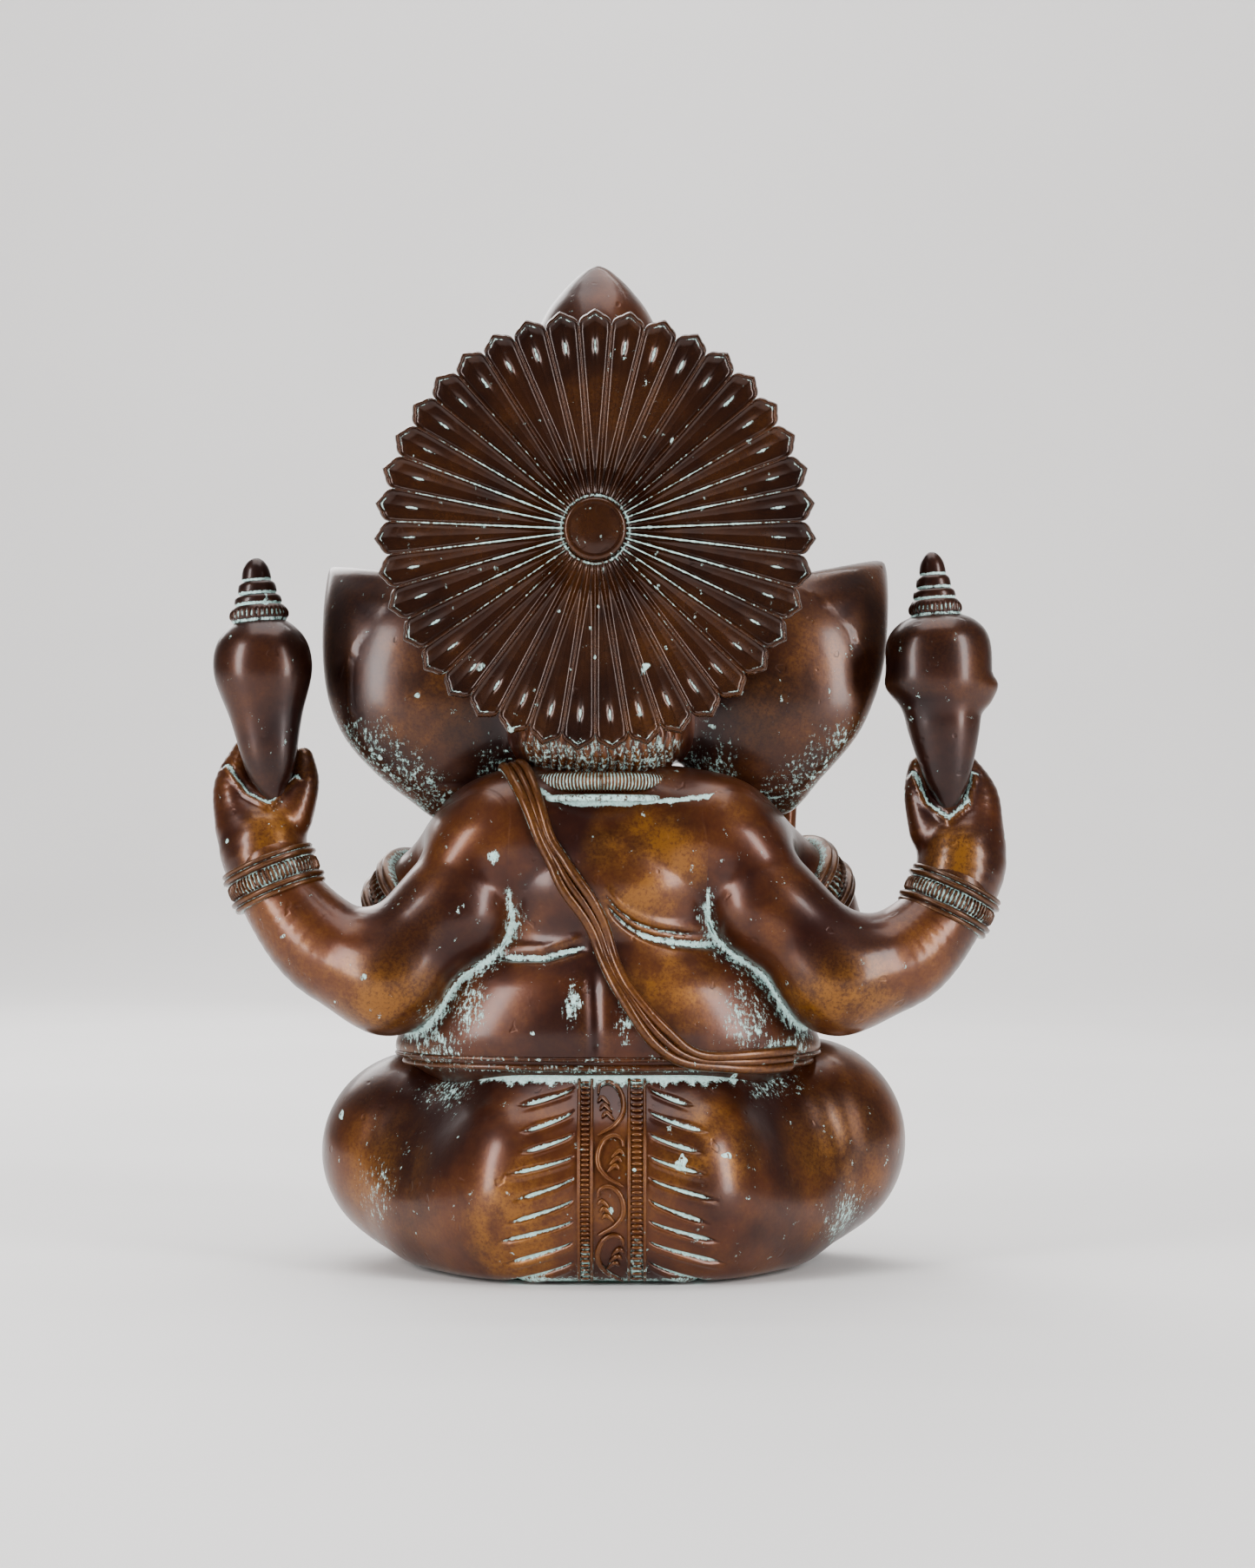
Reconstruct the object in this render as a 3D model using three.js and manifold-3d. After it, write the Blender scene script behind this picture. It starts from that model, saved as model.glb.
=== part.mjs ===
// A seated, four-armed, elephant-headed figure in cast bronze, built up from separate castings.
// Frame: millimetres, +Z up. The figure faces -Y and its own left is +X, so +Y is its back.
// The origin is the centre of the felt pad's underside, on the surface that the figure stands on.

import * as THREE from "three";
import { mergeVertices } from "three/addons/utils/BufferGeometryUtils.js";
import Module from "manifold-3d";

const wasm = await Module();
wasm.setup();

// ---------------------------------------------------------------- driving dimensions
const HEIGHT = 280; // pad to finial tip
const WALL = 4.5; // thickness of the hollow castings
const GAP = 0.3; // clearance between two pieces that meet
const RIM_Z = 0.6; // the seat casting's rim stands this far above the pad's underside
const WAIST_Z = 50; // the torso's open end, in its pocket in the seat casting
const NECK_Z = 139; // joint between torso and head
const NECK = { x: 2, radius: 13, low: 125 }; // spigot under the head casting
const HEAD_X = 3; // the head is set a little to the figure's left
const CROWN = { x: HEAD_X, y: -6, low: 189, high: 249.5 };
const PEG_R = 5; // peg under the finial, in the crown's top
const HALO = { x: 3.3, z: 203, front: 36, thickness: 4, valley: 55.5, tip: 59.5, petals: 39, boss: 8.1 };
const SCREW_R = 3; // shank of the screw through the halo
const TENON_R = 5; // tenons of the arms
const PAD = [42, 34]; // half-widths of the recess under the seat, which takes plate and felt
const FELT = { low: 0, high: 1.1 };
const PLATE = { low: 1.4, high: 3.1 };
const COVER_HOLE = [30, 23];
const COVER_SCREWS = [[27, 20], [-27, 20], [27, -20], [-27, -20]];

const UP = new THREE.Vector3(0, 0, 1);
const SIDES = ["left", "right"];
const SIGN = { left: 1, right: -1 };

// ---------------------------------------------------------------- turning shapes into solids
function solid(geometry) {
  const bare = geometry.clone();
  bare.deleteAttribute("normal");
  bare.deleteAttribute("uv");
  const merged = mergeVertices(bare, 1e-4);
  const vertProperties = new Float32Array(merged.attributes.position.array);
  const triVerts = new Uint32Array(merged.index.array);
  const made = new wasm.Manifold(new wasm.Mesh({ numProp: 3, vertProperties, triVerts }));
  if (made.volume() > 0) return made;
  for (let i = 0; i < triVerts.length; i += 3) {
    [triVerts[i + 1], triVerts[i + 2]] = [triVerts[i + 2], triVerts[i + 1]];
  }
  return new wasm.Manifold(new wasm.Mesh({ numProp: 3, vertProperties, triVerts }));
}

function joined(solids) {
  return solids.reduce((whole, next) => whole.add(next));
}

function cut(whole, ...tools) {
  return tools.reduce((rest, tool) => rest.subtract(tool), whole);
}

function above(shape, z) {
  return shape.trimByPlane([0, 0, 1], z);
}

function below(shape, z) {
  return shape.trimByPlane([0, 0, -1], -z);
}

function largestBody(shape) {
  return shape.decompose().sort((a, b) => b.volume() - a.volume())[0];
}

function ellipsoid([x, y, z], [rx, ry, rz], grow = 0, around = 12) {
  const g = new THREE.SphereGeometry(1, around, Math.round(around * 0.55));
  g.rotateX(Math.PI / 2);
  g.scale(rx + grow, ry + grow, rz + grow);
  g.translate(x, y, z);
  return solid(g);
}

// Rings of points along a curve through stations [x, y, z, radius].
function limbRings(stations, grow, steps, closed) {
  const points = stations.map(([x, y, z]) => new THREE.Vector3(x, y, z));
  const path = new THREE.CatmullRomCurve3(points, closed, "centripetal");
  const spans = closed ? stations.length : stations.length - 1;
  const count = spans * steps;
  const rings = [];
  let normal = UP.clone();
  if (Math.abs(path.getTangent(0).z) > 0.9) normal.set(0, 1, 0);
  for (let i = 0; i < (closed ? count : count + 1); i++) {
    const span = Math.min(Math.floor(i / steps), spans - 1);
    const from = stations[span][3];
    const to = stations[(span + 1) % stations.length][3];
    const tangent = path.getTangent(i / count);
    normal = normal.clone().addScaledVector(tangent, -normal.dot(tangent)).normalize();
    const radius = grow + THREE.MathUtils.lerp(from, to, i / steps - span);
    rings.push({ at: path.getPoint(i / count), tangent, normal, radius });
  }
  return rings;
}

// The ring half-way up a domed end. Way is 1 at the far end and -1 at the near end.
function domeRing(end, way) {
  const inset = end.radius * Math.SQRT1_2;
  return { ...end, at: end.at.clone().addScaledVector(end.tangent, way * inset), radius: inset };
}

// A rounded limb of changing radius, with a dome at each end, or a ring if it is closed.
function limb(stations, grow = 0, { sides = 10, steps = 2, closed = false, flat = 1 } = {}) {
  const rings = limbRings(stations, grow, steps, closed);
  const first = rings[0];
  const last = rings[rings.length - 1];
  const all = closed ? rings : [domeRing(first, -1), ...rings, domeRing(last, 1)];
  const vertices = [];
  for (const { at, tangent, normal, radius } of all) {
    const across = new THREE.Vector3().crossVectors(tangent, normal);
    for (let k = 0; k < sides; k++) {
      const a = (2 * Math.PI * k) / sides;
      const p = at.clone().addScaledVector(normal, radius * Math.cos(a) * flat);
      vertices.push(...p.addScaledVector(across, radius * Math.sin(a)).toArray());
    }
  }
  const index = [];
  const rows = all.length;
  for (let i = 0; i < (closed ? rows : rows - 1); i++) {
    for (let k = 0; k < sides; k++) {
      const [here, there] = [i * sides, ((i + 1) % rows) * sides];
      const next = (k + 1) % sides;
      index.push(here + k, here + next, there + k, here + next, there + next, there + k);
    }
  }
  if (!closed) {
    const tail = vertices.length / 3;
    vertices.push(...first.at.clone().addScaledVector(first.tangent, -first.radius).toArray());
    vertices.push(...last.at.clone().addScaledVector(last.tangent, last.radius).toArray());
    for (let k = 0; k < sides; k++) {
      const next = (k + 1) % sides;
      index.push(tail, next, k, tail + 1, (rows - 1) * sides + k, (rows - 1) * sides + next);
    }
  }
  const g = new THREE.BufferGeometry();
  g.setAttribute("position", new THREE.BufferAttribute(new Float32Array(vertices), 3));
  g.setIndex(index);
  return solid(g);
}

// A turned shape: profile [radius, height] from axis to axis, standing at a point along a direction.
function turned(profile, at, way = [0, 0, 1], { around = 14, depth = 1 } = {}) {
  const g = new THREE.LatheGeometry(profile.map(([r, h]) => new THREE.Vector2(r, h)), around);
  g.rotateX(Math.PI / 2);
  g.scale(1, depth, 1);
  const direction = new THREE.Vector3(...way).normalize();
  g.applyQuaternion(new THREE.Quaternion().setFromUnitVectors(UP, direction));
  g.translate(...at);
  return solid(g);
}

function cylinder(radius, length, at, way, around = 16) {
  return turned([[0, 0], [radius, 0], [radius, length], [0, length]], at, way, { around });
}

// A ring: its profile closes on itself away from the axis.
function ring(profile, at, way, around = 16) {
  return turned([...profile, profile[0]], at, way, { around });
}

// An axis-to-axis profile made larger all round, for the clearance that a neighbour leaves it.
function grown(profile, amount) {
  return profile.map(([r, h], i) => {
    const rise = i === 0 ? -amount : i === profile.length - 1 ? amount : 0;
    return [r > 0 ? r + amount : 0, h + rise];
  });
}

function ellipsePlate([rx, ry], low, high) {
  const outline = new THREE.Shape();
  outline.absellipse(0, 0, rx, ry, 0, 2 * Math.PI);
  const options = { depth: high - low, bevelEnabled: false, curveSegments: 10 };
  return solid(new THREE.ExtrudeGeometry(outline, options).translate(0, 0, low));
}

// ---------------------------------------------------------------- torso: belly, back, chest, shoulders
const BELLY = [[0, -12, 74], [59, 46, 32]];
const BACK = [[0, 12, 84], [42, 26, 36]];
const CHEST = [[0, 2, 110], [42, 29, 26]];
const THROAT = [[2, -1, 133], [24, 22, 14]];
const SHOULDERS = [[-31, 8, 120, 14], [0, 5, 122, 15], [31, 8, 120, 14]];
const FRONT_SHOULDERS = [[-38, -11, 113, 13], [0, -8, 112, 14], [38, -11, 113, 13]];

const TORSO_LIMB = { sides: 8, steps: 1 };

function torsoMass(grow = 0) {
  return joined([
    ...[BELLY, BACK, CHEST].map((e) => ellipsoid(...e, grow, 16)),
    ellipsoid(...THROAT, grow),
    limb(SHOULDERS, grow, TORSO_LIMB),
    limb(FRONT_SHOULDERS, grow, TORSO_LIMB),
  ]);
}

function torsoHollow() {
  const hollow = joined([BELLY, BACK, CHEST].map((e) => ellipsoid(...e, -WALL, 10)));
  return below(hollow, NECK.low + 1);
}

// A point on the torso's skin, at a height and a heading: 0 is the middle of the back, 90 the left side.
function onTorso(degrees, z, radius) {
  const heading = THREE.MathUtils.degToRad(degrees);
  const [dx, dy] = [Math.sin(heading), Math.cos(heading)];
  const reaches = [BELLY, BACK, CHEST].map(([[, cy, cz], [rx, ry, rz]]) => {
    const level = 1 - ((z - cz) / rz) ** 2;
    const a = (dx / rx) ** 2 + (dy / ry) ** 2;
    const b = (-2 * dy * cy) / ry ** 2;
    const root = b * b - 4 * a * ((cy / ry) ** 2 - level);
    return level <= 0 || root <= 0 ? 0 : (-b + Math.sqrt(root)) / (2 * a);
  });
  const reach = Math.max(...reaches);
  return [reach * dx, reach * dy, z, radius];
}

function neckSpigot(grow = 0) {
  const low = NECK.low - grow;
  return cylinder(NECK.radius + grow, NECK_Z + 2 - low, [NECK.x, 0, low]);
}

function torsoCasting() {
  const shell = below(above(torsoMass(), WAIST_Z), NECK_Z - GAP);
  return cut(shell, torsoHollow(), neckSpigot(GAP), ...SIDES.flatMap((side) => tenons(side, GAP)));
}

// ---------------------------------------------------------------- seat: hips, folded legs, feet and skirt
const HIPS = [[0, 0, 22], [70, 50, 38]];
const BUTTOCKS = [[[21, 20, 26], [29, 31, 33]], [[-21, 20, 26], [29, 31, 33]]];
const THIGHS = [[[24, 4, 28, 28], [53, -16, 31, 28.5]], [[-24, 4, 30, 28], [-55, -16, 34, 29.5]]];
const SHINS = [
  [[52, -28, 21, 19], [22, -48, 16, 14.5], [-14, -57, 13, 11]],
  [[-52, -28, 21, 19], [-22, -46, 18, 14.5], [12, -52, 20, 11]],
];
const FEET = [
  [[-12, -57, 13, 10], [-27, -62, 11, 8.5], [-40, -62, 9, 6]],
  [[12, -52, 20, 10], [27, -56, 20, 8.5], [39, -57, 19, 6]],
];
const SEAT_HOLLOW = [
  [[0, 3, 20], [56, 38, 26]],
  [[50, -14, 31], [26, 22, 22]],
  [[-51, -14, 33], [27, 22, 23]],
];
const SEAT_FLOOR = 6.5;

function seatMass(grow = 0) {
  return joined([
    ellipsoid(...HIPS, grow, 16),
    ...BUTTOCKS.map((b) => ellipsoid(...b, grow)),
    ...THIGHS.map((t) => limb(t, grow, { sides: 10, steps: 1 })),
    ...SHINS.map((s) => limb(s, grow, { sides: 8, steps: 1 })),
    ...FEET.map((f) => limb(f, grow, { sides: 6, steps: 1 })),
  ]);
}

function seatCasting() {
  const hollow = joined(SEAT_HOLLOW.map((e) => ellipsoid(...e, 0, 10)));
  return cut(
    above(seatMass(), RIM_Z),
    above(hollow, SEAT_FLOOR),
    above(torsoMass(GAP), WAIST_Z - GAP),
    ellipsePlate([26, 18], SEAT_FLOOR + 20, WAIST_Z),
    ellipsePlate(PAD, -1, PLATE.high + GAP),
    ellipsePlate(COVER_HOLE, -1, SEAT_FLOOR + 5),
    ...COVER_SCREWS.map((s) => coverScrew(s, GAP)),
  );
}

// ---------------------------------------------------------------- cover under the seat
function coverScrew([x, y], grow = 0) {
  const { low } = PLATE;
  const profile = [[0, low], [2.8, low], [1.5, low + 1.4], [1.5, 8], [0, 8]];
  return turned(grown(profile, grow), [x, y, 0], [0, 0, 1], { around: 8 });
}

function basePlate() {
  const plate = ellipsePlate(PAD.map((r) => r - GAP), PLATE.low, PLATE.high);
  return cut(plate, ...COVER_SCREWS.map((s) => coverScrew(s, GAP)));
}

function feltPad() {
  return ellipsePlate(PAD.map((r) => r - GAP), FELT.low, FELT.high);
}

// ---------------------------------------------------------------- head, ears, trunk and tusks
const SKULL = [[HEAD_X, -8, 172], [33, 31, 32]];
const FACE = [
  [[HEAD_X + 13, -24, 184], [15, 14, 15]],
  [[HEAD_X - 13, -24, 184], [15, 14, 15]],
  [[HEAD_X, -28, 160], [20, 19, 20]],
  [[HEAD_X + 18, -24, 157], [13, 14, 13]],
  [[HEAD_X - 18, -24, 157], [13, 14, 13]],
];
const NAPE = [[2, 4, 149], [25, 22, 17]];

function headMass(grow = 0) {
  return joined([
    ellipsoid(...SKULL, grow, 16),
    ...FACE.map((bump) => ellipsoid(...bump, grow, 8)),
    ellipsoid(...NAPE, grow, 12),
  ]);
}

function headCasting() {
  const hollow = above(ellipsoid(...SKULL, -WALL - 1, 10), NECK_Z + 6);
  const bore = cylinder(NECK.radius - WALL, 40, [NECK.x, 0, NECK.low - 1]);
  return cut(above(headMass(), NECK_Z).subtract(hollow).add(neckSpigot()), bore, crownMass(GAP));
}

// Seen from behind, each ear is a leaf: a tip at the top, outside, and a lobe that hangs on the shoulder.
const EAR_OUTLINE = {
  left: [
    [80.2, 196.4], [80.6, 183], [80.1, 170], [78.1, 157.5], [73.2, 147.2], [65, 137.6], [55.6, 130.3],
    [47.2, 124.4], [38, 127], [28, 140], [24, 158], [25, 180], [32, 193.5], [50, 193.8], [66, 195.2],
  ],
  right: [
    [-79.4, 198.8], [-78.8, 187], [-77.2, 170.5], [-73.8, 158.2], [-68.6, 147.4], [-59.2, 136.5],
    [-50, 126.2], [-38, 128], [-26, 140], [-20, 158], [-20, 180], [-26, 192], [-44, 192.4], [-60, 195],
  ],
};
const EAR_BOWL = { x: 44, y: -46, z: 162, outer: 54, inner: 48.5, front: -30 };

// A leaf cut from a spherical shell, hollow side to the front.
function earMass(side, grow = 0) {
  const outline = new THREE.Shape(EAR_OUTLINE[side].map(([x, z]) => new THREE.Vector2(x, z)));
  const depth = 70;
  const block = new THREE.ExtrudeGeometry(outline, { depth, bevelEnabled: false });
  block.rotateX(Math.PI / 2);
  block.translate(0, depth / 2, 0);
  const { x, y, z, outer, inner, front } = EAR_BOWL;
  const centre = [SIGN[side] * x, y, z];
  const shell = cut(
    ellipsoid(centre, Array(3).fill(outer), grow, 22),
    ellipsoid(centre, Array(3).fill(inner), -grow, 20),
  );
  return shell.trimByPlane([0, 1, 0], front).intersect(solid(block));
}

const TRUNK = [
  [3, -38, 163, 16], [3, -51, 149, 14], [1, -57, 131, 12.5], [-1, -59, 113, 11], [3, -61, 98, 10],
  [13, -65, 88, 9], [25, -67, 86, 7.8], [33, -66.5, 92, 6.6], [33, -65, 100, 5.4],
];
const TUSKS = {
  whole: [[-9, -42, 154, 3.8], [-13, -55, 148, 3], [-16, -66, 147, 1.3]],
  broken: [[15, -42, 154, 3.8], [18.5, -52, 149.5, 3.2]],
};

function trunk() {
  return cut(limb(TRUNK), headMass(GAP), torsoMass(GAP), bowlMass(GAP));
}

function tusk(kind) {
  return cut(limb(TUSKS[kind], 0, { sides: 8 }), headMass(GAP), limb(TRUNK, GAP));
}

// ---------------------------------------------------------------- crown and finial
const CROWN_PROFILE = [
  [31, 189], [32, 191.5], [30.6, 194], [31.6, 197.5], [30, 200], [29.3, 210], [27, 218], [25, 220],
  [26, 223.5], [25, 229], [20.5, 236], [21.6, 239.5], [20.4, 245], [18, CROWN.high],
];
const CROWN_BORE = [[0, 186], [25.5, 186], [25.5, 200], [24, 212], [20, 224], [15, 237], [0, 237]];
const FINIAL_PROFILE = [
  [0, 243], [PEG_R, 243], [PEG_R, CROWN.high + GAP], [18.4, CROWN.high + GAP], [19, 254], [17.8, 259],
  [14.9, 265.5], [10.6, 271.8], [5.6, 277.2], [2.4, 279.4], [0, HEIGHT],
];
const CROWN_AT = [CROWN.x, CROWN.y, 0];

function crownMass(grow = 0) {
  const profile = [[0, CROWN.low], ...CROWN_PROFILE, [0, CROWN.high]];
  return turned(grown(profile, grow), CROWN_AT, [0, 0, 1], { around: 16 });
}

function crown() {
  return cut(
    crownMass(),
    turned(CROWN_BORE, CROWN_AT, [0, 0, 1], { around: 12 }),
    headMass(GAP),
    cylinder(PEG_R + GAP, 10, [CROWN.x, CROWN.y, 243 - GAP]),
    haloScrewShank(GAP),
  );
}

function finial() {
  return turned(FINIAL_PROFILE, CROWN_AT, [0, 0, 1], { around: 16 });
}

// ---------------------------------------------------------------- halo, on a screw through the crown's back
const BACKWARDS = [0, 1, 0];
const HALO_BACK = HALO.front + HALO.thickness;
const NUT = { front: 12.6, thickness: 4, radius: 6.5 };

function onHaloAxis(y) {
  return [HALO.x, y, HALO.z];
}

// The disc's rim: each petal swells from its valley to a point.
function haloDisc() {
  const pitch = (2 * Math.PI) / HALO.petals;
  const petal = [[0, HALO.valley], [0.25, HALO.tip - 1.4], [0.5, HALO.tip], [0.75, HALO.tip - 1.4]];
  const rim = [];
  for (let i = 0; i < HALO.petals; i++) {
    for (const [share, radius] of petal) {
      const a = (i + share - 0.5) * pitch;
      rim.push(new THREE.Vector2(radius * Math.sin(a), radius * Math.cos(a)));
    }
  }
  const options = { depth: HALO.thickness, bevelEnabled: false };
  const disc = new THREE.ExtrudeGeometry(new THREE.Shape(rim), options);
  disc.rotateX(Math.PI / 2);
  disc.translate(...onHaloAxis(HALO_BACK));
  return solid(disc).subtract(haloScrewShank(GAP));
}

function haloScrewShank(grow = 0) {
  const tip = NUT.front - 1.5;
  return cylinder(SCREW_R + grow, HALO_BACK + 1 - tip, onHaloAxis(tip), BACKWARDS);
}

function haloScrew() {
  const boss = [[0, 0], [HALO.boss, 0], [HALO.boss, 3.4], [HALO.boss - 1, 4.3], [0, 4.9]];
  return haloScrewShank().add(turned(boss, onHaloAxis(HALO_BACK + GAP), BACKWARDS));
}

function haloSpacer() {
  const front = 15;
  const post = cylinder(9, HALO.front - GAP - front, onHaloAxis(front), BACKWARDS);
  return largestBody(cut(post, crownMass(GAP), haloScrewShank(GAP)));
}

function haloNut() {
  const hexagon = cylinder(NUT.radius, NUT.thickness, onHaloAxis(NUT.front), BACKWARDS, 6);
  return hexagon.subtract(haloScrewShank(GAP));
}

// ---------------------------------------------------------------- rear arms, raised, each with a conch
const REAR = {
  left: {
    arm: [
      [29, 11, 118, 13.5], [44, 17, 102, 13.6], [60, 19, 81.5, 16], [77, 15, 89.7, 14],
      [88.8, 12, 102, 11.6], [93.2, 10, 112, 10.6],
    ],
    palm: [[91.5, 10, 106, 10.4], [95.5, 6.5, 117, 12.2], [95.5, 1.5, 126, 10.8]],
    fingerSide: [[101.5, 6, 124, 7.5], [103.8, 3, 134, 5.8], [101.5, 0, 144, 3.4]],
    thumbSide: [[87.5, 6, 126, 5.8], [84.6, 4, 135, 4.4], [85, 2, 142, 3.2]],
    knuckle: [92.5, 121],
    conch: { at: [92.6, 9.5, 128], tip: [98, 5, 197.8] },
  },
  right: {
    arm: [
      [-29, 11, 118, 13.5], [-45, 17, 102, 13.6], [-63, 19, 81.5, 16], [-80, 15, 87, 14],
      [-91.2, 12, 97, 11.6], [-95.8, 10, 106, 10.8],
    ],
    palm: [[-94, 10, 101, 10.8], [-98, 6.5, 113, 12.4], [-96.5, 1.5, 123, 11.2]],
    fingerSide: [[-102, 6, 120, 7.5], [-102.6, 3, 131, 6], [-98.5, 0, 141, 3.6]],
    thumbSide: [[-89, 6, 122, 5.6], [-86.4, 4, 132, 4.2], [-86.6, 2, 139.5, 3.2]],
    knuckle: [-92, 118],
    conch: { at: [-94.6, 9.5, 126], tip: [-89.7, 5, 198.6] },
  },
};
const ARM = { sides: 10, steps: 1 };
const REAR_WRIST = 0.9; // how far along its arm the wrist joint is
const FINGER = { sides: 6, steps: 1 };

// The place and direction of an arm's wrist joint, at a share of the way along it.
function wristOf(arm, share) {
  const points = arm.map(([x, y, z]) => new THREE.Vector3(x, y, z));
  const path = new THREE.CatmullRomCurve3(points, false, "centripetal");
  return { at: path.getPoint(share).toArray(), way: path.getTangent(share).toArray() };
}

// Keeps the part of a limb on one side of its wrist: side is 1 for the hand and -1 for the arm.
function cutAtWrist(shape, { at, way }, side) {
  const axis = new THREE.Vector3(...way);
  const along = axis.dot(new THREE.Vector3(...at));
  return shape.trimByPlane(axis.multiplyScalar(side).toArray(), side * along + GAP / 2);
}

// One tenon for the rear arm and one for the front arm, each running into the torso's shell.
function tenons(side, grow = 0) {
  const s = SIGN[side];
  const rear = cylinder(TENON_R + grow, 24 + grow, [s * 43, 9, 115], [-s, -0.15, 0], 12);
  const front = cylinder(TENON_R + grow, 22 + grow, [s * 46, -14, 108], [-s, 0.15, 0.1], 12);
  return [rear, front];
}

function rearArmMass(side, grow = 0) {
  return limb(REAR[side].arm, grow, ARM);
}

function rearArm(side) {
  const trimmed = cutAtWrist(rearArmMass(side), wristOf(REAR[side].arm, REAR_WRIST), -1);
  return largestBody(cut(trimmed, torsoMass(GAP), seatMass(GAP))).add(tenons(side)[0]);
}

function rearHandMass(side, grow = 0) {
  const { palm, fingerSide, thumbSide, knuckle } = REAR[side];
  const [x, z] = knuckle;
  const s = SIGN[side];
  const fingers = [0, 1, 2, 3].map((i) => {
    const rise = z + 4 + i * 4.6;
    const route = [[x + s * 10.5, -1, rise, 3], [x + s * 5.5, -9, rise, 2.7], [x - s * 2.5, -8.5, rise, 2.3]];
    return limb(route, grow, FINGER);
  });
  return joined([
    limb(palm, grow, { sides: 8, steps: 1 }),
    limb(fingerSide, grow, { sides: 8, steps: 1 }),
    limb(thumbSide, grow, { sides: 8, steps: 1 }),
    ...fingers,
  ]);
}

function rearHand(side) {
  return cutAtWrist(rearHandMass(side), wristOf(REAR[side].arm, REAR_WRIST), 1).subtract(conch(side, GAP));
}

const BANGLES = {
  rear: { inner: 12.2, outer: 14, height: 11.4 },
  front: { inner: 11, outer: 12.6, height: 7.6 },
  armlet: { inner: 14.6, outer: 17.6, height: 13 },
  anklet: { inner: 9.4, outer: 13, height: 5 },
};

// A band with two raised rims and a groove between them, standing at a place and along a direction.
function bangle({ at, way }, { inner, outer, height }) {
  const [edge, rim] = [height / 2, height / 4];
  const groove = (inner + 2 * outer) / 3;
  return ring([[inner, -edge], [outer, -rim], [groove, 0], [outer, rim], [inner, edge]], at, way);
}

function rearBangle(side) {
  const whole = bangle(wristOf(REAR[side].arm, REAR_WRIST), BANGLES.rear);
  return largestBody(cut(whole, rearArmMass(side, GAP), rearHandMass(side, GAP)));
}

// Conch profiles [radius, height]: tail, body, shoulder, then a spire of three rings and its tip.
const CONCH_PROFILE = {
  left: [
    [0, 0], [1.6, 1], [3.8, 5], [6, 9], [7.6, 14], [8.8, 20], [10.2, 26], [12, 31.5], [13.3, 36],
    [13.7, 40], [13.2, 44], [11.8, 47.4], [9.6, 50], [7.6, 51.8], [8, 54], [6.3, 55.6], [6.6, 58],
    [5, 59.6], [5.2, 61.8], [3.8, 63.4], [3.4, 66.4], [1.6, 69.4], [0, 70],
  ],
  right: [
    [0, 0], [1.6, 1], [3.8, 5], [5.8, 9], [7.4, 14], [8.8, 19], [10, 24], [10.7, 28], [11.6, 31],
    [13.6, 34.5], [14.6, 39], [14.9, 46], [13.6, 50.6], [10.6, 53.8], [7.4, 55.4], [7.6, 58], [6, 59.6],
    [6.2, 61.8], [4.8, 63.2], [4.8, 65.4], [3.6, 67], [3, 70.4], [1.6, 73.2], [0, 74],
  ],
};
const CONCH_DEPTH = 0.84; // the shell is a little flatter from front to back

function conch(side, grow = 0) {
  const { at, tip } = REAR[side].conch;
  const way = tip.map((value, i) => value - at[i]);
  return turned(grown(CONCH_PROFILE[side], grow), at, way, { around: 12, depth: CONCH_DEPTH });
}

// ---------------------------------------------------------------- front arms: one blesses, one holds a bowl
const FRONT = {
  left: {
    arm: [
      [38, -11, 113, 13], [53, -19, 99, 14.2], [60, -29, 82, 12.8], [57, -44, 77, 11.2], [51, -57, 79, 9],
    ],
    armlet: { at: [51.9, -18.4, 100], way: [0.54, -0.46, -0.7] },
  },
  right: {
    arm: [
      [-38, -11, 113, 13], [-55, -19, 101, 14.4], [-61, -29, 84, 12.8], [-58, -42, 87, 11], [-50, -52, 99, 9],
    ],
    armlet: { at: [-52.5, -17.8, 102.6], way: [-0.56, -0.46, -0.69] },
  },
};
const FRONT_WRIST = 0.93;
const PALM_UP = [[54, -50, 77.5, 8], [50, -61, 78.5, 8], [47.5, -69, 79, 7.6]];
const PALM_FORWARD = [[-52, -48, 93, 8], [-47, -58, 104, 8.4], [-45, -61, 114, 9]];
const BOWL_AT = [47, -70, 87];

function frontArmMass(side, grow = 0) {
  return limb(FRONT[side].arm, grow, ARM);
}

function frontArm(side) {
  const trimmed = cutAtWrist(frontArmMass(side), wristOf(FRONT[side].arm, FRONT_WRIST), -1);
  const body = cut(trimmed, torsoMass(GAP), seatMass(GAP), rearArmMass(side, GAP));
  return largestBody(body).add(tenons(side)[1]);
}

// The blessing hand: palm forward, fingers upright.
function blessingHand() {
  const [px, py] = [-45, -61];
  const fingers = [[-6.6, 139], [-2.3, 143], [2.1, 142], [6.3, 136]].map(([x, top]) => {
    const spread = px + x * 1.1;
    const route = [[px + x, py, 118, 3], [spread, py - 0.5, 130, 2.9], [spread, py + 1, top, 2.3]];
    return limb(route, 0, FINGER);
  });
  const thumb = limb([[-38, -59, 111, 3.4], [-33.5, -61, 118, 3], [-32.5, -61.5, 125, 2.3]], 0, FINGER);
  const palm = ellipsoid([px, py, 114], [10.2, 5.4, 11.5], 0, 12);
  const whole = joined([limb(PALM_FORWARD, 0), palm, ...fingers, thumb]);
  return cutAtWrist(whole, wristOf(FRONT.right.arm, FRONT_WRIST), 1);
}

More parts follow.
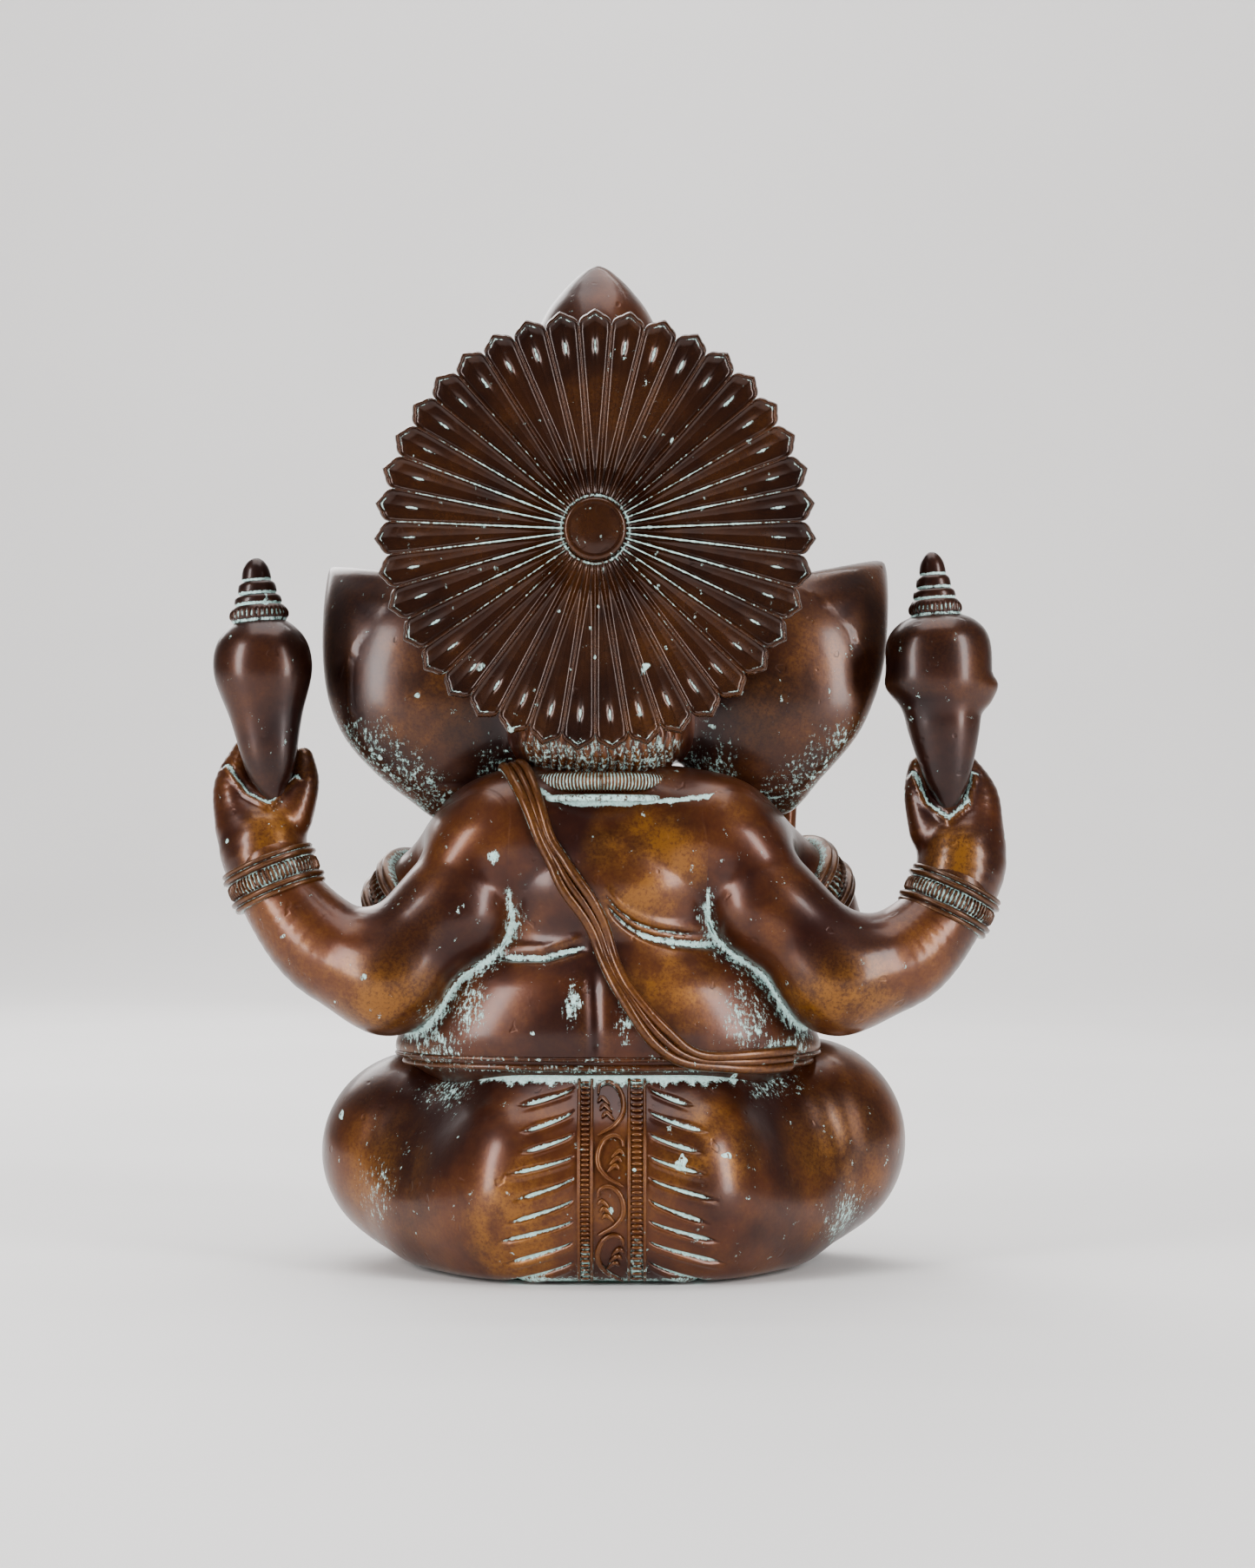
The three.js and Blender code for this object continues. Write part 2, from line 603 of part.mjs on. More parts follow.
// The giving hand: palm up under the bowl, fingers forward and curled.
function givingHand() {
  const [bx, by, bz] = BOWL_AT;
  const fingers = [[-7, 11], [-2.4, 13], [2.2, 12.4], [6.6, 10]].map(([x, reach]) => {
    const root = [bx + x, by + 2, bz - 8, 3];
    const middle = [bx + x, by - 7, bz - 7.4, 2.8];
    const tip = [bx + x, by - reach, bz - 3, 2.2];
    return limb([root, middle, tip], 0, FINGER);
  });
  const thumb = limb([[57, -62, 80, 3.2], [60.2, -69, 83, 2.8], [59.6, -74, 88, 2.3]], 0, FINGER);
  const palm = limb(PALM_UP, 0, { flat: 0.75 });
  const whole = cutAtWrist(joined([palm, ...fingers, thumb]), wristOf(FRONT.left.arm, FRONT_WRIST), 1);
  return cut(whole, bowlMass(GAP), torsoMass(GAP));
}

function frontBangle(side) {
  const whole = bangle(wristOf(FRONT[side].arm, FRONT_WRIST), BANGLES.front);
  return largestBody(cut(whole, frontArmMass(side, GAP)));
}

function armlet(side) {
  const whole = bangle(FRONT[side].armlet, BANGLES.armlet);
  return largestBody(cut(whole, torsoMass(GAP), rearArmMass(side, GAP), frontArmMass(side, GAP)));
}

function bowlMass(grow = 0) {
  const profile = [[0, -5.5], [4.5, -5.5], [8.4, -2], [10, 3.4], [10, 5], [0, 5]];
  return turned(grown(profile, grow), BOWL_AT);
}

function sweetBowl() {
  const inside = [[0, -3.5], [6.8, -1], [8.4, 3.4], [8.4, 9], [0, 9]];
  return bowlMass().subtract(turned(inside, BOWL_AT));
}

// Four round sweets pressed together, filling the bowl.
function sweets() {
  const [x, y, z] = BOWL_AT;
  const centres = [[-3.1, 1.8, 4], [3.1, 1.8, 4], [0, -3.4, 4], [0, 0, 9]];
  const heap = joined(centres.map(([dx, dy, dz]) => ellipsoid([x + dx, y + dy, z + dz], [4, 4, 4], 0, 8)));
  return heap.intersect(turned([[0, -3.2], [6.4, -0.8], [8, 3.4], [8, 20], [0, 20]], BOWL_AT));
}

// ---------------------------------------------------------------- ornaments laid on the castings
const COLLAR = [
  [2, 24.5, 137, 2.6], [20, 15, 135.6, 2.6], [27, -4, 133, 2.6], [19, -24, 128, 2.8], [2, -33, 123, 3.4],
  [-15, -24, 128, 2.8], [-23, -4, 133, 2.6], [-16, 15, 135.6, 2.6],
];
// The sacred thread comes over the left shoulder and crosses the back to the right hip, and the belly too.
const THREAD = {
  back: [
    [28, 12, 137, 2.4], [19, 25, 126, 2.4], onTorso(20, 109, 2.4), onTorso(6, 96, 2.4),
    onTorso(-8, 80, 2.4), onTorso(-23, 67, 2.4), onTorso(-42, 61.5, 2.4), onTorso(-62, 61, 2.4),
  ],
  front: [
    [25, -12, 133, 2.4], onTorso(140, 112, 2.4), onTorso(172, 95, 2.4), onTorso(-158, 78, 2.4),
    onTorso(-128, 67, 2.4), onTorso(-104, 63, 2.4),
  ],
};
const BAND = [
  [52, -6, 60.5, 2.4], [46, 14, 59, 2.4], [31, 27, 58, 2.4], [10, 33, 57, 2.4], [-10, 33, 57, 2.4],
  [-31, 27, 58, 2.4], [-46, 14, 60, 2.4], [-53, -6, 63, 2.4],
];
const ANKLETS = {
  left: { at: [6, -50.6, 19.8], way: [-0.97, 0.2, 0] },
  right: { at: [-8, -56, 13.8], way: [0.97, 0.22, 0.06] },
};
const CORD = { sides: 6, steps: 2 };

function collar() {
  const whole = limb(COLLAR, 0, { ...CORD, closed: true });
  return largestBody(cut(whole, torsoMass(GAP), headMass(GAP), ...SIDES.map((side) => earMass(side, GAP))));
}

function sacredThread(face) {
  const arms = SIDES.flatMap((side) => [rearArmMass(side, GAP), frontArmMass(side, GAP)]);
  const collarRoom = limb(COLLAR, GAP, { ...CORD, closed: true });
  const neighbours = [torsoMass(GAP), seatMass(GAP), limb(TRUNK, GAP), collarRoom, ...arms];
  return largestBody(cut(limb(THREAD[face], 0, CORD), ...neighbours));
}

function waistBand() {
  const arms = SIDES.map((side) => rearArmMass(side, GAP));
  const neighbours = [torsoMass(GAP), seatMass(GAP), limb(THREAD.back, GAP, CORD), ...arms];
  return largestBody(cut(limb(BAND, 0, CORD), ...neighbours));
}

function anklet(side) {
  const whole = bangle(ANKLETS[side], BANGLES.anklet);
  return largestBody(above(whole, RIM_Z).subtract(seatMass(GAP)));
}

// ---------------------------------------------------------------- materials
function metal(color, roughness) {
  return new THREE.MeshStandardMaterial({ color, roughness, metalness: 0.8 });
}

const darkBronze = () => metal(0x4a2513, 0.34);
const ochreBronze = () => metal(0x5a3210, 0.3);
const rawBrass = () => metal(0x9a7434, 0.45);
const felt = () => new THREE.MeshStandardMaterial({ color: 0x1f3a2a, roughness: 0.95, metalness: 0 });

// ---------------------------------------------------------------- the assembly
const figure = new THREE.Group();

function put(name, shape, material) {
  const { numProp, vertProperties, triVerts, numVert } = shape.getMesh();
  const position = new Float32Array(numVert * 3);
  for (let i = 0; i < numVert; i++) {
    position.set(vertProperties.subarray(i * numProp, i * numProp + 3), i * 3);
  }
  const g = new THREE.BufferGeometry();
  g.setAttribute("position", new THREE.BufferAttribute(position, 3));
  g.setIndex(new THREE.BufferAttribute(new Uint32Array(triVerts), 1));
  const mesh = new THREE.Mesh(g, material);
  mesh.name = name;
  figure.add(mesh);
}

put("seat_casting", largestBody(seatCasting()), darkBronze());
put("torso_casting", largestBody(torsoCasting()), darkBronze());
put("head_casting", largestBody(headCasting()), darkBronze());
put("trunk", largestBody(trunk()), darkBronze());
put("tusk_whole", largestBody(tusk("whole")), ochreBronze());
put("tusk_broken", largestBody(tusk("broken")), ochreBronze());
put("crown", largestBody(crown()), darkBronze());
put("crown_finial", finial(), darkBronze());
put("halo_disc", haloDisc(), ochreBronze());
put("halo_screw", haloScrew(), ochreBronze());
put("halo_spacer", haloSpacer(), darkBronze());
put("halo_nut", haloNut(), rawBrass());

for (const side of SIDES) {
  const ear = cut(earMass(side), headMass(GAP), torsoMass(GAP), crownMass(GAP));
  put("ear_" + side, largestBody(ear), darkBronze());
  put("rear_arm_" + side, rearArm(side), darkBronze());
  put("rear_hand_" + side, largestBody(rearHand(side)), darkBronze());
  put("rear_bangle_" + side, rearBangle(side), ochreBronze());
  put("conch_" + side, conch(side), darkBronze());
  put("front_arm_" + side, frontArm(side), darkBronze());
  put("front_bangle_" + side, frontBangle(side), ochreBronze());
  put("armlet_" + side, armlet(side), ochreBronze());
  put("anklet_" + side, anklet(side), ochreBronze());
}
put("front_hand_right", blessingHand(), darkBronze());
put("front_hand_left", largestBody(givingHand()), darkBronze());
put("sweet_bowl", sweetBowl(), ochreBronze());
put("sweets", largestBody(sweets()), ochreBronze());

put("collar", collar(), ochreBronze());
for (const face of ["back", "front"]) put("sacred_thread_" + face, sacredThread(face), ochreBronze());
put("waist_band", waistBand(), ochreBronze());

put("base_plate", basePlate(), rawBrass());
COVER_SCREWS.forEach((at, i) => put("base_screw_" + (i + 1), coverScrew(at), rawBrass()));
put("felt_pad", feltPad(), felt());

export default figure;
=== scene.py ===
"""The fine surface of a seated, four-armed, elephant-headed figure in dark cast bronze.

Shapes are worked out in millimetres in the CAD frame: +Z up, the figure faces -Y, +X is its own left.
Cast bodies are signed-distance shapes, meshed on a grid; turned and laid-on ornaments are lofted.
"""
import math

import bpy
import numpy as np
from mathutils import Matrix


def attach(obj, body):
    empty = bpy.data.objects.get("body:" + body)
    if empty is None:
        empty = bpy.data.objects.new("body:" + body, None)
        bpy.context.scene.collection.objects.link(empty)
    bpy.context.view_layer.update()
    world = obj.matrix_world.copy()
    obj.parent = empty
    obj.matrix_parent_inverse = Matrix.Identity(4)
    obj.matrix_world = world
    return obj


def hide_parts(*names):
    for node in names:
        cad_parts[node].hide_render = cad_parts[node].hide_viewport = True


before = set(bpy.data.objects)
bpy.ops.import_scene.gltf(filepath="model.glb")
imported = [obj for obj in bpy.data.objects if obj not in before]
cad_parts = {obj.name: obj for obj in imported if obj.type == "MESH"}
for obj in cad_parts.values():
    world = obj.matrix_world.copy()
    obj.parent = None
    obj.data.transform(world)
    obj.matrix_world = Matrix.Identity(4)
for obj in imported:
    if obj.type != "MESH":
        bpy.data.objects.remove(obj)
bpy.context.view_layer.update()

import openvdb
from mathutils import Vector

MM = 0.001
TAU = 2 * math.pi
FAR = 1e6
SIDES = ("left", "right")
COARSE = 1.0


# ---------------------------------------------------------------- signed-distance shapes
def length(v):
    return np.sqrt(np.einsum("ij,ij->i", v, v))


def ellipsoid(centre, radii):
    centre = np.array(centre, float)
    radii = np.array(radii, float)

    def distance(p):
        q = (p - centre) / radii
        near = length(q)
        return near * (near - 1) / np.maximum(length(q / radii), 1e-6)

    return distance


def route(stations, per_span, closed=False):
    """Points on a Catmull-Rom curve through stations, which may carry a radius as a fourth value."""
    s = np.array(stations, float)
    n = len(s)
    out = []
    for i in range(n if closed else n - 1):
        if closed:
            a, b, c, d = (s[(i + k) % n] for k in (-1, 0, 1, 2))
        else:
            a, b, c, d = s[max(i - 1, 0)], s[i], s[i + 1], s[min(i + 2, n - 1)]
        for t in np.arange(per_span) / per_span:
            bend = (2 * a - 5 * b + 4 * c - d) * t**2 + (3 * b - a - 3 * c + d) * t**3
            out.append(0.5 * (2 * b + (c - a) * t + bend))
    if not closed:
        out.append(s[-1])
    return np.array(out)


def smooth_profile(profile, per_span):
    """A smooth line through (radius, height) pairs."""
    return route([(r, h, 0) for r, h in profile], per_span)[:, :2].tolist()


def limb(*stations, per_span=6, flat=1.0):
    """A rounded limb through [x, y, z, radius] stations; a flat below 1 squeezes it along Z."""
    path = route(stations, per_span)
    middle = path[:, :3].mean(0)
    squeeze = np.array([1, 1, 1 / flat])
    path[:, :3] = (path[:, :3] - middle) * squeeze

    def distance(p):
        q = (p - middle) * squeeze
        best = np.full(len(q), FAR)
        for a, b in zip(path, path[1:]):
            along = b[:3] - a[:3]
            t = np.clip(((q - a[:3]) @ along) / (along @ along), 0, 1)
            gap = length(q - a[:3] - t[:, None] * along) - (a[3] + t * (b[3] - a[3]))
            np.minimum(best, gap, out=best)
        return best * flat

    return distance


def smooth_min(a, b, k):
    h = np.maximum(k - np.abs(a - b), 0) / k
    return np.minimum(a, b) - h * h * k / 4


def smooth_max(a, b, k):
    return -smooth_min(-a, -b, k)


def blend(k, *shapes):
    """Shapes run together over a fillet of about k."""
    def distance(p):
        d = shapes[0](p)
        for shape in shapes[1:]:
            d = smooth_min(d, shape(p), k)
        return d

    return distance


def above(shape, z, k=1.0):
    return lambda p: smooth_max(shape(p), z - p[:, 2], k)


def below(shape, z, k=1.0):
    return lambda p: smooth_max(shape(p), p[:, 2] - z, k)


def beyond(shape, others):
    """How much farther this shape is than the nearest of the others: negative on its own ground."""
    return lambda p: shape(p) - np.min([other(p) for other in others], 0)


# ---------------------------------------------------------------- soft masks, from 0 to 1
def ramp(value, low, high):
    return np.clip((value - low) / (high - low), 0, 1)


def stroke(offset, width):
    return np.exp(-((offset / width) ** 2))


def facing(angle, centre, width):
    """1 where an angle is near a centre, 0 beyond its width."""
    return stroke(np.angle(np.exp(1j * (angle - centre))), width)


def patch(p, centre, radii):
    """A soft-edged patch, 1 at its centre."""
    return np.clip(1.3 - 1.3 * length((p - np.array(centre)) / np.array(radii)), 0, 1)


def patches(p, *spots):
    """Patches added up, each given as strength, centre and radii."""
    return sum(strength * patch(p, centre, radii) for strength, centre, radii in spots)


# ---------------------------------------------------------------- meshes
def gradient(shape, p, d, step=0.05):
    g = np.empty_like(p)
    for axis in range(3):
        q = p.copy()
        q[:, axis] += step
        g[:, axis] = (shape(q) - d) / step
    return g


def settle(shape, p, rounds=2, most=1.0):
    """Moves points onto the surface of a shape, by no more than a given length in each round."""
    for _ in range(rounds):
        d = shape(p)
        g = gradient(shape, p, d)
        slope = np.maximum(np.einsum("ij,ij->i", g, g), 0.2)
        p = p - np.clip(d / slope, -most, most)[:, None] * g
    return p


def mesh_of(shape, low, high, step):
    """Triangles on the surface of a shape, from a grid of distances with the given step."""
    step *= COARSE
    low = np.array(low, float)
    counts = np.ceil((np.array(high, float) - low) / step).astype(int) + 1
    x, y = np.meshgrid(np.arange(counts[0]), np.arange(counts[1]), indexing="ij")
    flat = np.stack([x.ravel(), y.ravel(), np.zeros(x.size)], 1) * step + low
    field = np.empty(counts, np.float32)
    for k in range(counts[2]):
        flat[:, 2] = low[2] + k * step
        field[:, :, k] = shape(flat).reshape(counts[:2])
    grid = openvdb.FloatGrid(100.0)
    grid.copyFromArray(field)
    points, quads = grid.convertToQuads(0.0)
    points = settle(shape, points.astype(float) * step + low, 3, step)
    quads = quads.astype(np.int64)
    tris = np.concatenate([quads[:, [0, 1, 2]], quads[:, [0, 2, 3]]])
    return points, outward(points, tris, np.zeros(3))


def outward(points, tris, middle):
    """The triangles, turned over if the volume they enclose comes out negative."""
    a, b, c = (points[tris[:, i]] - middle for i in range(3))
    return tris[:, ::-1] if np.einsum("ij,ij->", a, np.cross(b, c)) < 0 else tris


def edge_cuts(tris, marked):
    """New vertex numbers, counted from 0, for the marked edges of each triangle (-1 where an edge isn't)."""
    edges = np.stack([tris, np.roll(tris, -1, 1)], 2).reshape(-1, 2)
    keys = np.sort(edges, 1)
    cut = marked(keys[:, 0], keys[:, 1])
    pairs, number = np.unique(keys[cut], axis=0, return_inverse=True)
    numbers = np.full(len(edges), -1)
    numbers[cut] = number.ravel()
    return pairs, numbers.reshape(-1, 3)


def split(points, tris, field):
    """Cuts a mesh along field = 0. Returns the mesh where the field is negative, then the other."""
    field = np.where(np.abs(field) < 1e-6, 1e-6, field)
    pairs, cuts = edge_cuts(tris, lambda a, b: (field[a] < 0) != (field[b] < 0))
    share = field[pairs[:, 0]] / (field[pairs[:, 0]] - field[pairs[:, 1]])
    fresh = points[pairs[:, 0]] + share[:, None] * (points[pairs[:, 1]] - points[pairs[:, 0]])
    every = np.concatenate([points, fresh])
    cuts = np.where(cuts >= 0, cuts + len(points), -1)
    inside = field[tris] < 0
    sides = ([tris[inside.all(1)]], [tris[~inside.any(1)]])
    mixed = inside.any(1) & ~inside.all(1)
    t, cut, neg = tris[mixed], cuts[mixed], inside[mixed]
    lone_value = neg.sum(1) == 1
    lone = np.argmax(neg == lone_value[:, None], 1)
    rows = np.arange(len(t))
    a, b, c = (t[rows, (lone + k) % 3] for k in range(3))
    ab, ca = cut[rows, lone], cut[rows, (lone + 2) % 3]
    tip = np.stack([a, ab, ca], 1)
    rest = np.concatenate([np.stack([ab, b, c], 1), np.stack([ab, c, ca], 1)])
    twice = np.concatenate([lone_value, lone_value])
    sides[0].extend([tip[lone_value], rest[~twice]])
    sides[1].extend([tip[~lone_value], rest[twice]])
    return [compact(every, np.concatenate(side)) for side in sides]


def refine(points, tris, chosen):
    """Halves every edge whose two ends are both chosen."""
    pairs, cuts = edge_cuts(tris, lambda a, b: chosen[a] & chosen[b])
    every = np.concatenate([points, points[pairs].mean(1)])
    cuts = np.where(cuts >= 0, cuts + len(points), -1)
    count = (cuts >= 0).sum(1)
    out = [tris[count == 0]]
    whole, mids = tris[count == 3], cuts[count == 3]
    out += [np.stack([whole[:, i], mids[:, i], mids[:, (i + 2) % 3]], 1) for i in range(3)]
    out.append(mids)
    one, mids = tris[count == 1], cuts[count == 1]
    rows = np.arange(len(one))
    at = np.argmax(mids >= 0, 1)
    a, b, c, m = one[rows, at], one[rows, (at + 1) % 3], one[rows, (at + 2) % 3], mids[rows, at]
    out += [np.stack([a, m, c], 1), np.stack([m, b, c], 1)]
    return compact(every, np.concatenate(out))


def compact(points, tris):
    """The mesh without the points that no triangle uses."""
    used, fresh = np.unique(tris, return_inverse=True)
    return points[used], fresh.reshape(-1, 3)


def normals(points, tris):
    face = np.cross(points[tris[:, 1]] - points[tris[:, 0]], points[tris[:, 2]] - points[tris[:, 0]])
    out = np.zeros_like(points)
    for corner in range(3):
        for axis in range(3):
            out[:, axis] += np.bincount(tris[:, corner], face[:, axis], len(points))
    return out / np.maximum(length(out), 1e-9)[:, None]


def displaced(points, tris, height):
    return points + normals(points, tris) * height[:, None]


def smoothed(points, tris, rounds):
    """Each point drawn towards its neighbours, over and over."""
    edges = np.concatenate([tris[:, [0, 1]], tris[:, [1, 2]], tris[:, [2, 0]]])
    a, b = np.unique(np.sort(edges, 1), axis=0).T
    n = len(points)
    count = np.bincount(a, minlength=n) + np.bincount(b, minlength=n)
    p = points.copy()
    for _ in range(rounds):
        total = [np.bincount(a, p[b, k], n) + np.bincount(b, p[a, k], n) for k in range(3)]
        p = 0.5 * p + 0.5 * np.stack(total, 1) / np.maximum(count, 1)[:, None]
    return p


def loft(rings, closed=False):
    """Triangles over rows of points, each row a closed ring. Open ends are closed with a middle point."""
    rings = np.array(rings, float)
    rows, cols = rings.shape[:2]
    points = rings.reshape(-1, 3)
    i = np.arange(rows if closed else rows - 1)[:, None] * cols
    k = np.arange(cols)
    up = (i + cols) % (rows * cols)
    a, b, c, d = i + k, i + (k + 1) % cols, up + (k + 1) % cols, up + k
    tris = np.concatenate([np.stack([a, b, c], 2).reshape(-1, 3), np.stack([a, c, d], 2).reshape(-1, 3)])
    if not closed:
        n = len(points)
        last = (rows - 1) * cols
        bottom = np.stack([np.full(cols, n), (k + 1) % cols, k], 1)
        top = np.stack([np.full(cols, n + 1), last + k, last + (k + 1) % cols], 1)
        points = np.concatenate([points, [rings[0].mean(0), rings[-1].mean(0)]])
        tris = np.concatenate([tris, bottom, top])
    return points, outward(points, tris, points.mean(0))


def tube(path, radius, sides=10, closed=False, tall=1.0, up=None):
    """A tube along points; radius may change along it. Tall stretches its section along the normals in up."""
    path = np.array(path, float)
    radius = np.broadcast_to(radius, len(path))[:, None, None]
    way = np.roll(path, -1, 0) - np.roll(path, 1, 0) if closed else np.gradient(path, axis=0)
    way /= np.maximum(length(way), 1e-9)[:, None]
    if up is None:
        side = np.zeros_like(path)
        last = np.array([0.0, 0.0, 1.0]) if abs(way[0, 2]) < 0.9 else np.array([0.0, 1.0, 0.0])
        for i, w in enumerate(way):
            last = last - w * (last @ w)
            last /= np.linalg.norm(last)
            side[i] = last
    else:
        side = up - way * np.einsum("ij,ij->i", up, way)[:, None]
        side /= np.maximum(length(side), 1e-9)[:, None]
    across = np.cross(way, side)
    a = (np.arange(sides) * TAU / sides)[None, :, None]
    section = tall * side[:, None] * np.cos(a) + across[:, None] * np.sin(a)
    return loft(path[:, None] + radius * section, closed)


def merged(meshes):
    points, tris, start = [], [], 0
    for p, t in meshes:
        points.append(p)
        tris.append(t + start)
        start += len(p)
    return np.concatenate(points), np.concatenate(tris)


def turn(count):
    """Evenly spaced angles round a full turn."""
    return np.arange(count) * TAU / count


def circle(a, radius, height, centre=(0, 0, 0)):
    """A row of points at angles a round a vertical axis; the radius may change along it."""
    row = np.stack([radius * np.cos(a), radius * np.sin(a), np.full(len(a), float(height))], 1)
    return row + np.array(centre, float)


def bead(centre, radii, around=10):
    """A small ball, flattened or not."""
    rows = [circle(turn(around), math.sin(r), math.cos(r)) for r in np.linspace(0.12, math.pi - 0.12, 7)]
    return loft(np.array(rows) * np.array(radii) + np.array(centre))


def turn_to(points, at, way):
    """Stands points, made round the Z axis, at a place and along a direction."""
    turned = Vector((0, 0, 1)).rotation_difference(Vector(way).normalized()).to_matrix()
    return points @ np.array(turned).T + np.array(at, float)


def dense(profile, step):
    """The profile with points added along its straight stretches."""
    out = []
    for a, b in zip(profile, profile[1:]):
        n = max(1, int(math.dist(a, b) / step))
        out += [tuple(np.array(a) + (np.array(b) - np.array(a)) * k / n) for k in range(n)]
    return out


# ---------------------------------------------------------------- pieces
FULL_MARK = 0.35  # a point this far under or over its smoothed surroundings is wholly hollow or wholly worn


def piece(name, node, mesh, material, slot="dark_bronze", seam=None, relief=6, **marks):
    """Makes the object, with how hollow and how worn its surface is, and stands it in for its CAD node.

    Seam is the distance from the joint with a neighbour. Marks are extra values from 0 to 1 at each point:
    patina, where verdigris has settled, on the halo's level ribs partly a painted highlight, and a warm mark
    that lightens the bronze towards ochre, partly where the surface is rubbed and partly as a painted
    highlight.
    """
    points, tris = mesh
    data = bpy.data.meshes.new(name)
    data.from_pydata((points * MM).tolist(), [], tris.tolist())
    data.polygons.foreach_set("use_smooth", [True] * len(data.polygons))
    depth = np.einsum("ij,ij->i", smoothed(points, tris, relief) - points, normals(points, tris)) / FULL_MARK
    values = {"hollow": depth, "worn": -depth, **marks}
    if seam is not None:
        values["seam"] = 1 - np.abs(seam) / 2
    for key, value in values.items():
        value = np.clip(value, 0, 1).astype(np.float32)
        data.attributes.new(key, "FLOAT", "POINT").data.foreach_set("value", value)
    data.materials.append(material)
    made = bpy.data.objects.new(name, data)
    bpy.context.scene.collection.objects.link(made)
    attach(made, "root")
    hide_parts(node)


# ---------------------------------------------------------------- materials
VERDIGRIS = ((0.36, 0.62, 0.58), (0.62, 0.88, 0.84))


def new_material(name):
    material = bpy.data.materials.new(name)
    material.use_nodes = True
    nodes, links = material.node_tree.nodes, material.node_tree.links
    shader = nodes["Principled BSDF"]
    return material, nodes, links, shader


def bronze(name, dark, mid, bright, roughness=0.3):
    """Patinated bronze: brown to ochre, pale verdigris in the hollows and as flecks, lacquered."""
    material, nodes, links, shader = new_material(name)

    def node(kind, inputs=None, **facts):
        made = nodes.new(kind)
        for key, value in facts.items():
            setattr(made, key, value)
        for key, value in (inputs or {}).items():
            if isinstance(value, bpy.types.NodeSocket):
                links.new(value, made.inputs[key])
            else:
                made.inputs[key].default_value = value
        return made

    def maths(operation, a, b, clamp=False):
        return node("ShaderNodeMath", {0: a, 1: b}, operation=operation, use_clamp=clamp).outputs[0]

    def add(a, b, clamp=False):
        return maths("ADD", a, b, clamp)

    def times(a, b, clamp=False):
        return maths("MULTIPLY", a, b, clamp)

    def noise(scale, detail=4.0, rough=0.55, stretch=(1, 1, 1)):
        place = node("ShaderNodeMapping", {"Vector": coords, "Scale": stretch}).outputs[0]
        facts = {"Vector": place, "Scale": scale, "Detail": detail, "Roughness": rough}
        return node("ShaderNodeTexNoise", facts).outputs["Fac"]

    def step(value, low, high):
        ranged = {"Value": value, "From Min": low, "From Max": high}
        return node("ShaderNodeMapRange", ranged, interpolation_type="SMOOTHSTEP").outputs[0]

    def mix(share, a, b):
        a, b = ((*value, 1) if isinstance(value, tuple) else value for value in (a, b))
        return node("ShaderNodeMix", {0: share, 6: a, 7: b}, data_type="RGBA").outputs[2]

    coords = node("ShaderNodeTexCoord").outputs["Object"]
    hollow, worn, seam, settled_and_highlight, gold = (
        node("ShaderNodeAttribute", attribute_name=key).outputs["Fac"]
        for key in ("hollow", "worn", "seam", "patina", "gold")
    )
    cloud = noise(24, 5, 0.6)
    blotch = noise(70, 5, 0.65)
    grit = noise(1100, 3, 0.7)
    fleck = noise(330, 5, 0.75)
    streak = noise(75, 5, 0.65, (2.4, 2.4, 0.5))
    scratch = noise(1250, 4, 0.75, (1.0, 1.0, 0.28))
    cross_scratch = noise(1050, 4, 0.7, (0.3, 1.0, 1.0))

    base = mix(step(cloud, 0.38, 0.62), dark, mid)
    # Lighter ochre: random tone from the cloud, plus the placed warm mark, which is partly rubbed metal and
    # partly a painted highlight
    warm = add(times(step(cloud, 0.44, 0.70), 0.40), gold)
    glow = times(add(step(blotch, 0.38, 0.68), 0.15), warm, True)
    glow = times(glow, add(step(grit, 0.30, 0.62), 0.45), True)
    base = mix(times(glow, 0.78), base, bright)
    rub = times(worn, add(step(grit, 0.35, 0.65), 0.35), True)
    base = mix(times(rub, 0.30), base, bright)
    base = mix(times(hollow, 0.75), base, tuple(0.3 * c for c in dark))

    hatch = add(add(times(scratch, 0.5), times(cross_scratch, 0.25)), times(fleck, 0.25))
    # Verdigris film from the hollows and the patina mark; on the halo's level ribs this film is partly a
    # painted highlight
    amount = maths("MAXIMUM", times(step(hollow, 0.35, 1.0), 0.62), settled_and_highlight)
    film = step(add(hatch, times(amount, 0.36)), 0.67, 0.76)
    specks = times(step(fleck, 0.645, 0.67), step(streak, 0.50, 0.60))
    dabs = times(step(noise(130, 2, 0.5), 0.735, 0.75), step(scratch, 0.40, 0.50))
    green = maths("MAXIMUM", film, maths("MAXIMUM", times(specks, 0.85), dabs))
    links.new(mix(green, base, mix(step(grit, 0.3, 0.7), *VERDIGRIS)), shader.inputs["Base Color"])

    links.new(maths("SUBTRACT", 0.45, times(green, 0.45)), shader.inputs["Metallic"])
    gloss = add(roughness - 0.06, times(blotch, 0.16))
    links.new(add(gloss, times(green, 0.45), True), shader.inputs["Roughness"])
    shader.inputs["Coat Weight"].default_value = 0.22
    shader.inputs["Coat Roughness"].default_value = 0.16
    shader.inputs["Specular IOR Level"].default_value = 0.38
    shader.inputs["IOR"].default_value = 1.45

    dents = add(times(noise(150, 3), 0.5), times(grit, 0.10))
    pits = times(step(noise(260, 1, 0.4), 0.70, 0.78), 0.5)
    line = times(step(seam, 0.86, 0.97), 0.5)
    height = maths("SUBTRACT", add(maths("SUBTRACT", dents, pits), times(green, 0.35)), line)
    bump = node("ShaderNodeBump", {"Height": height, "Strength": 0.30, "Distance": 0.0006})
    links.new(bump.outputs[0], shader.inputs["Normal"])
    return material


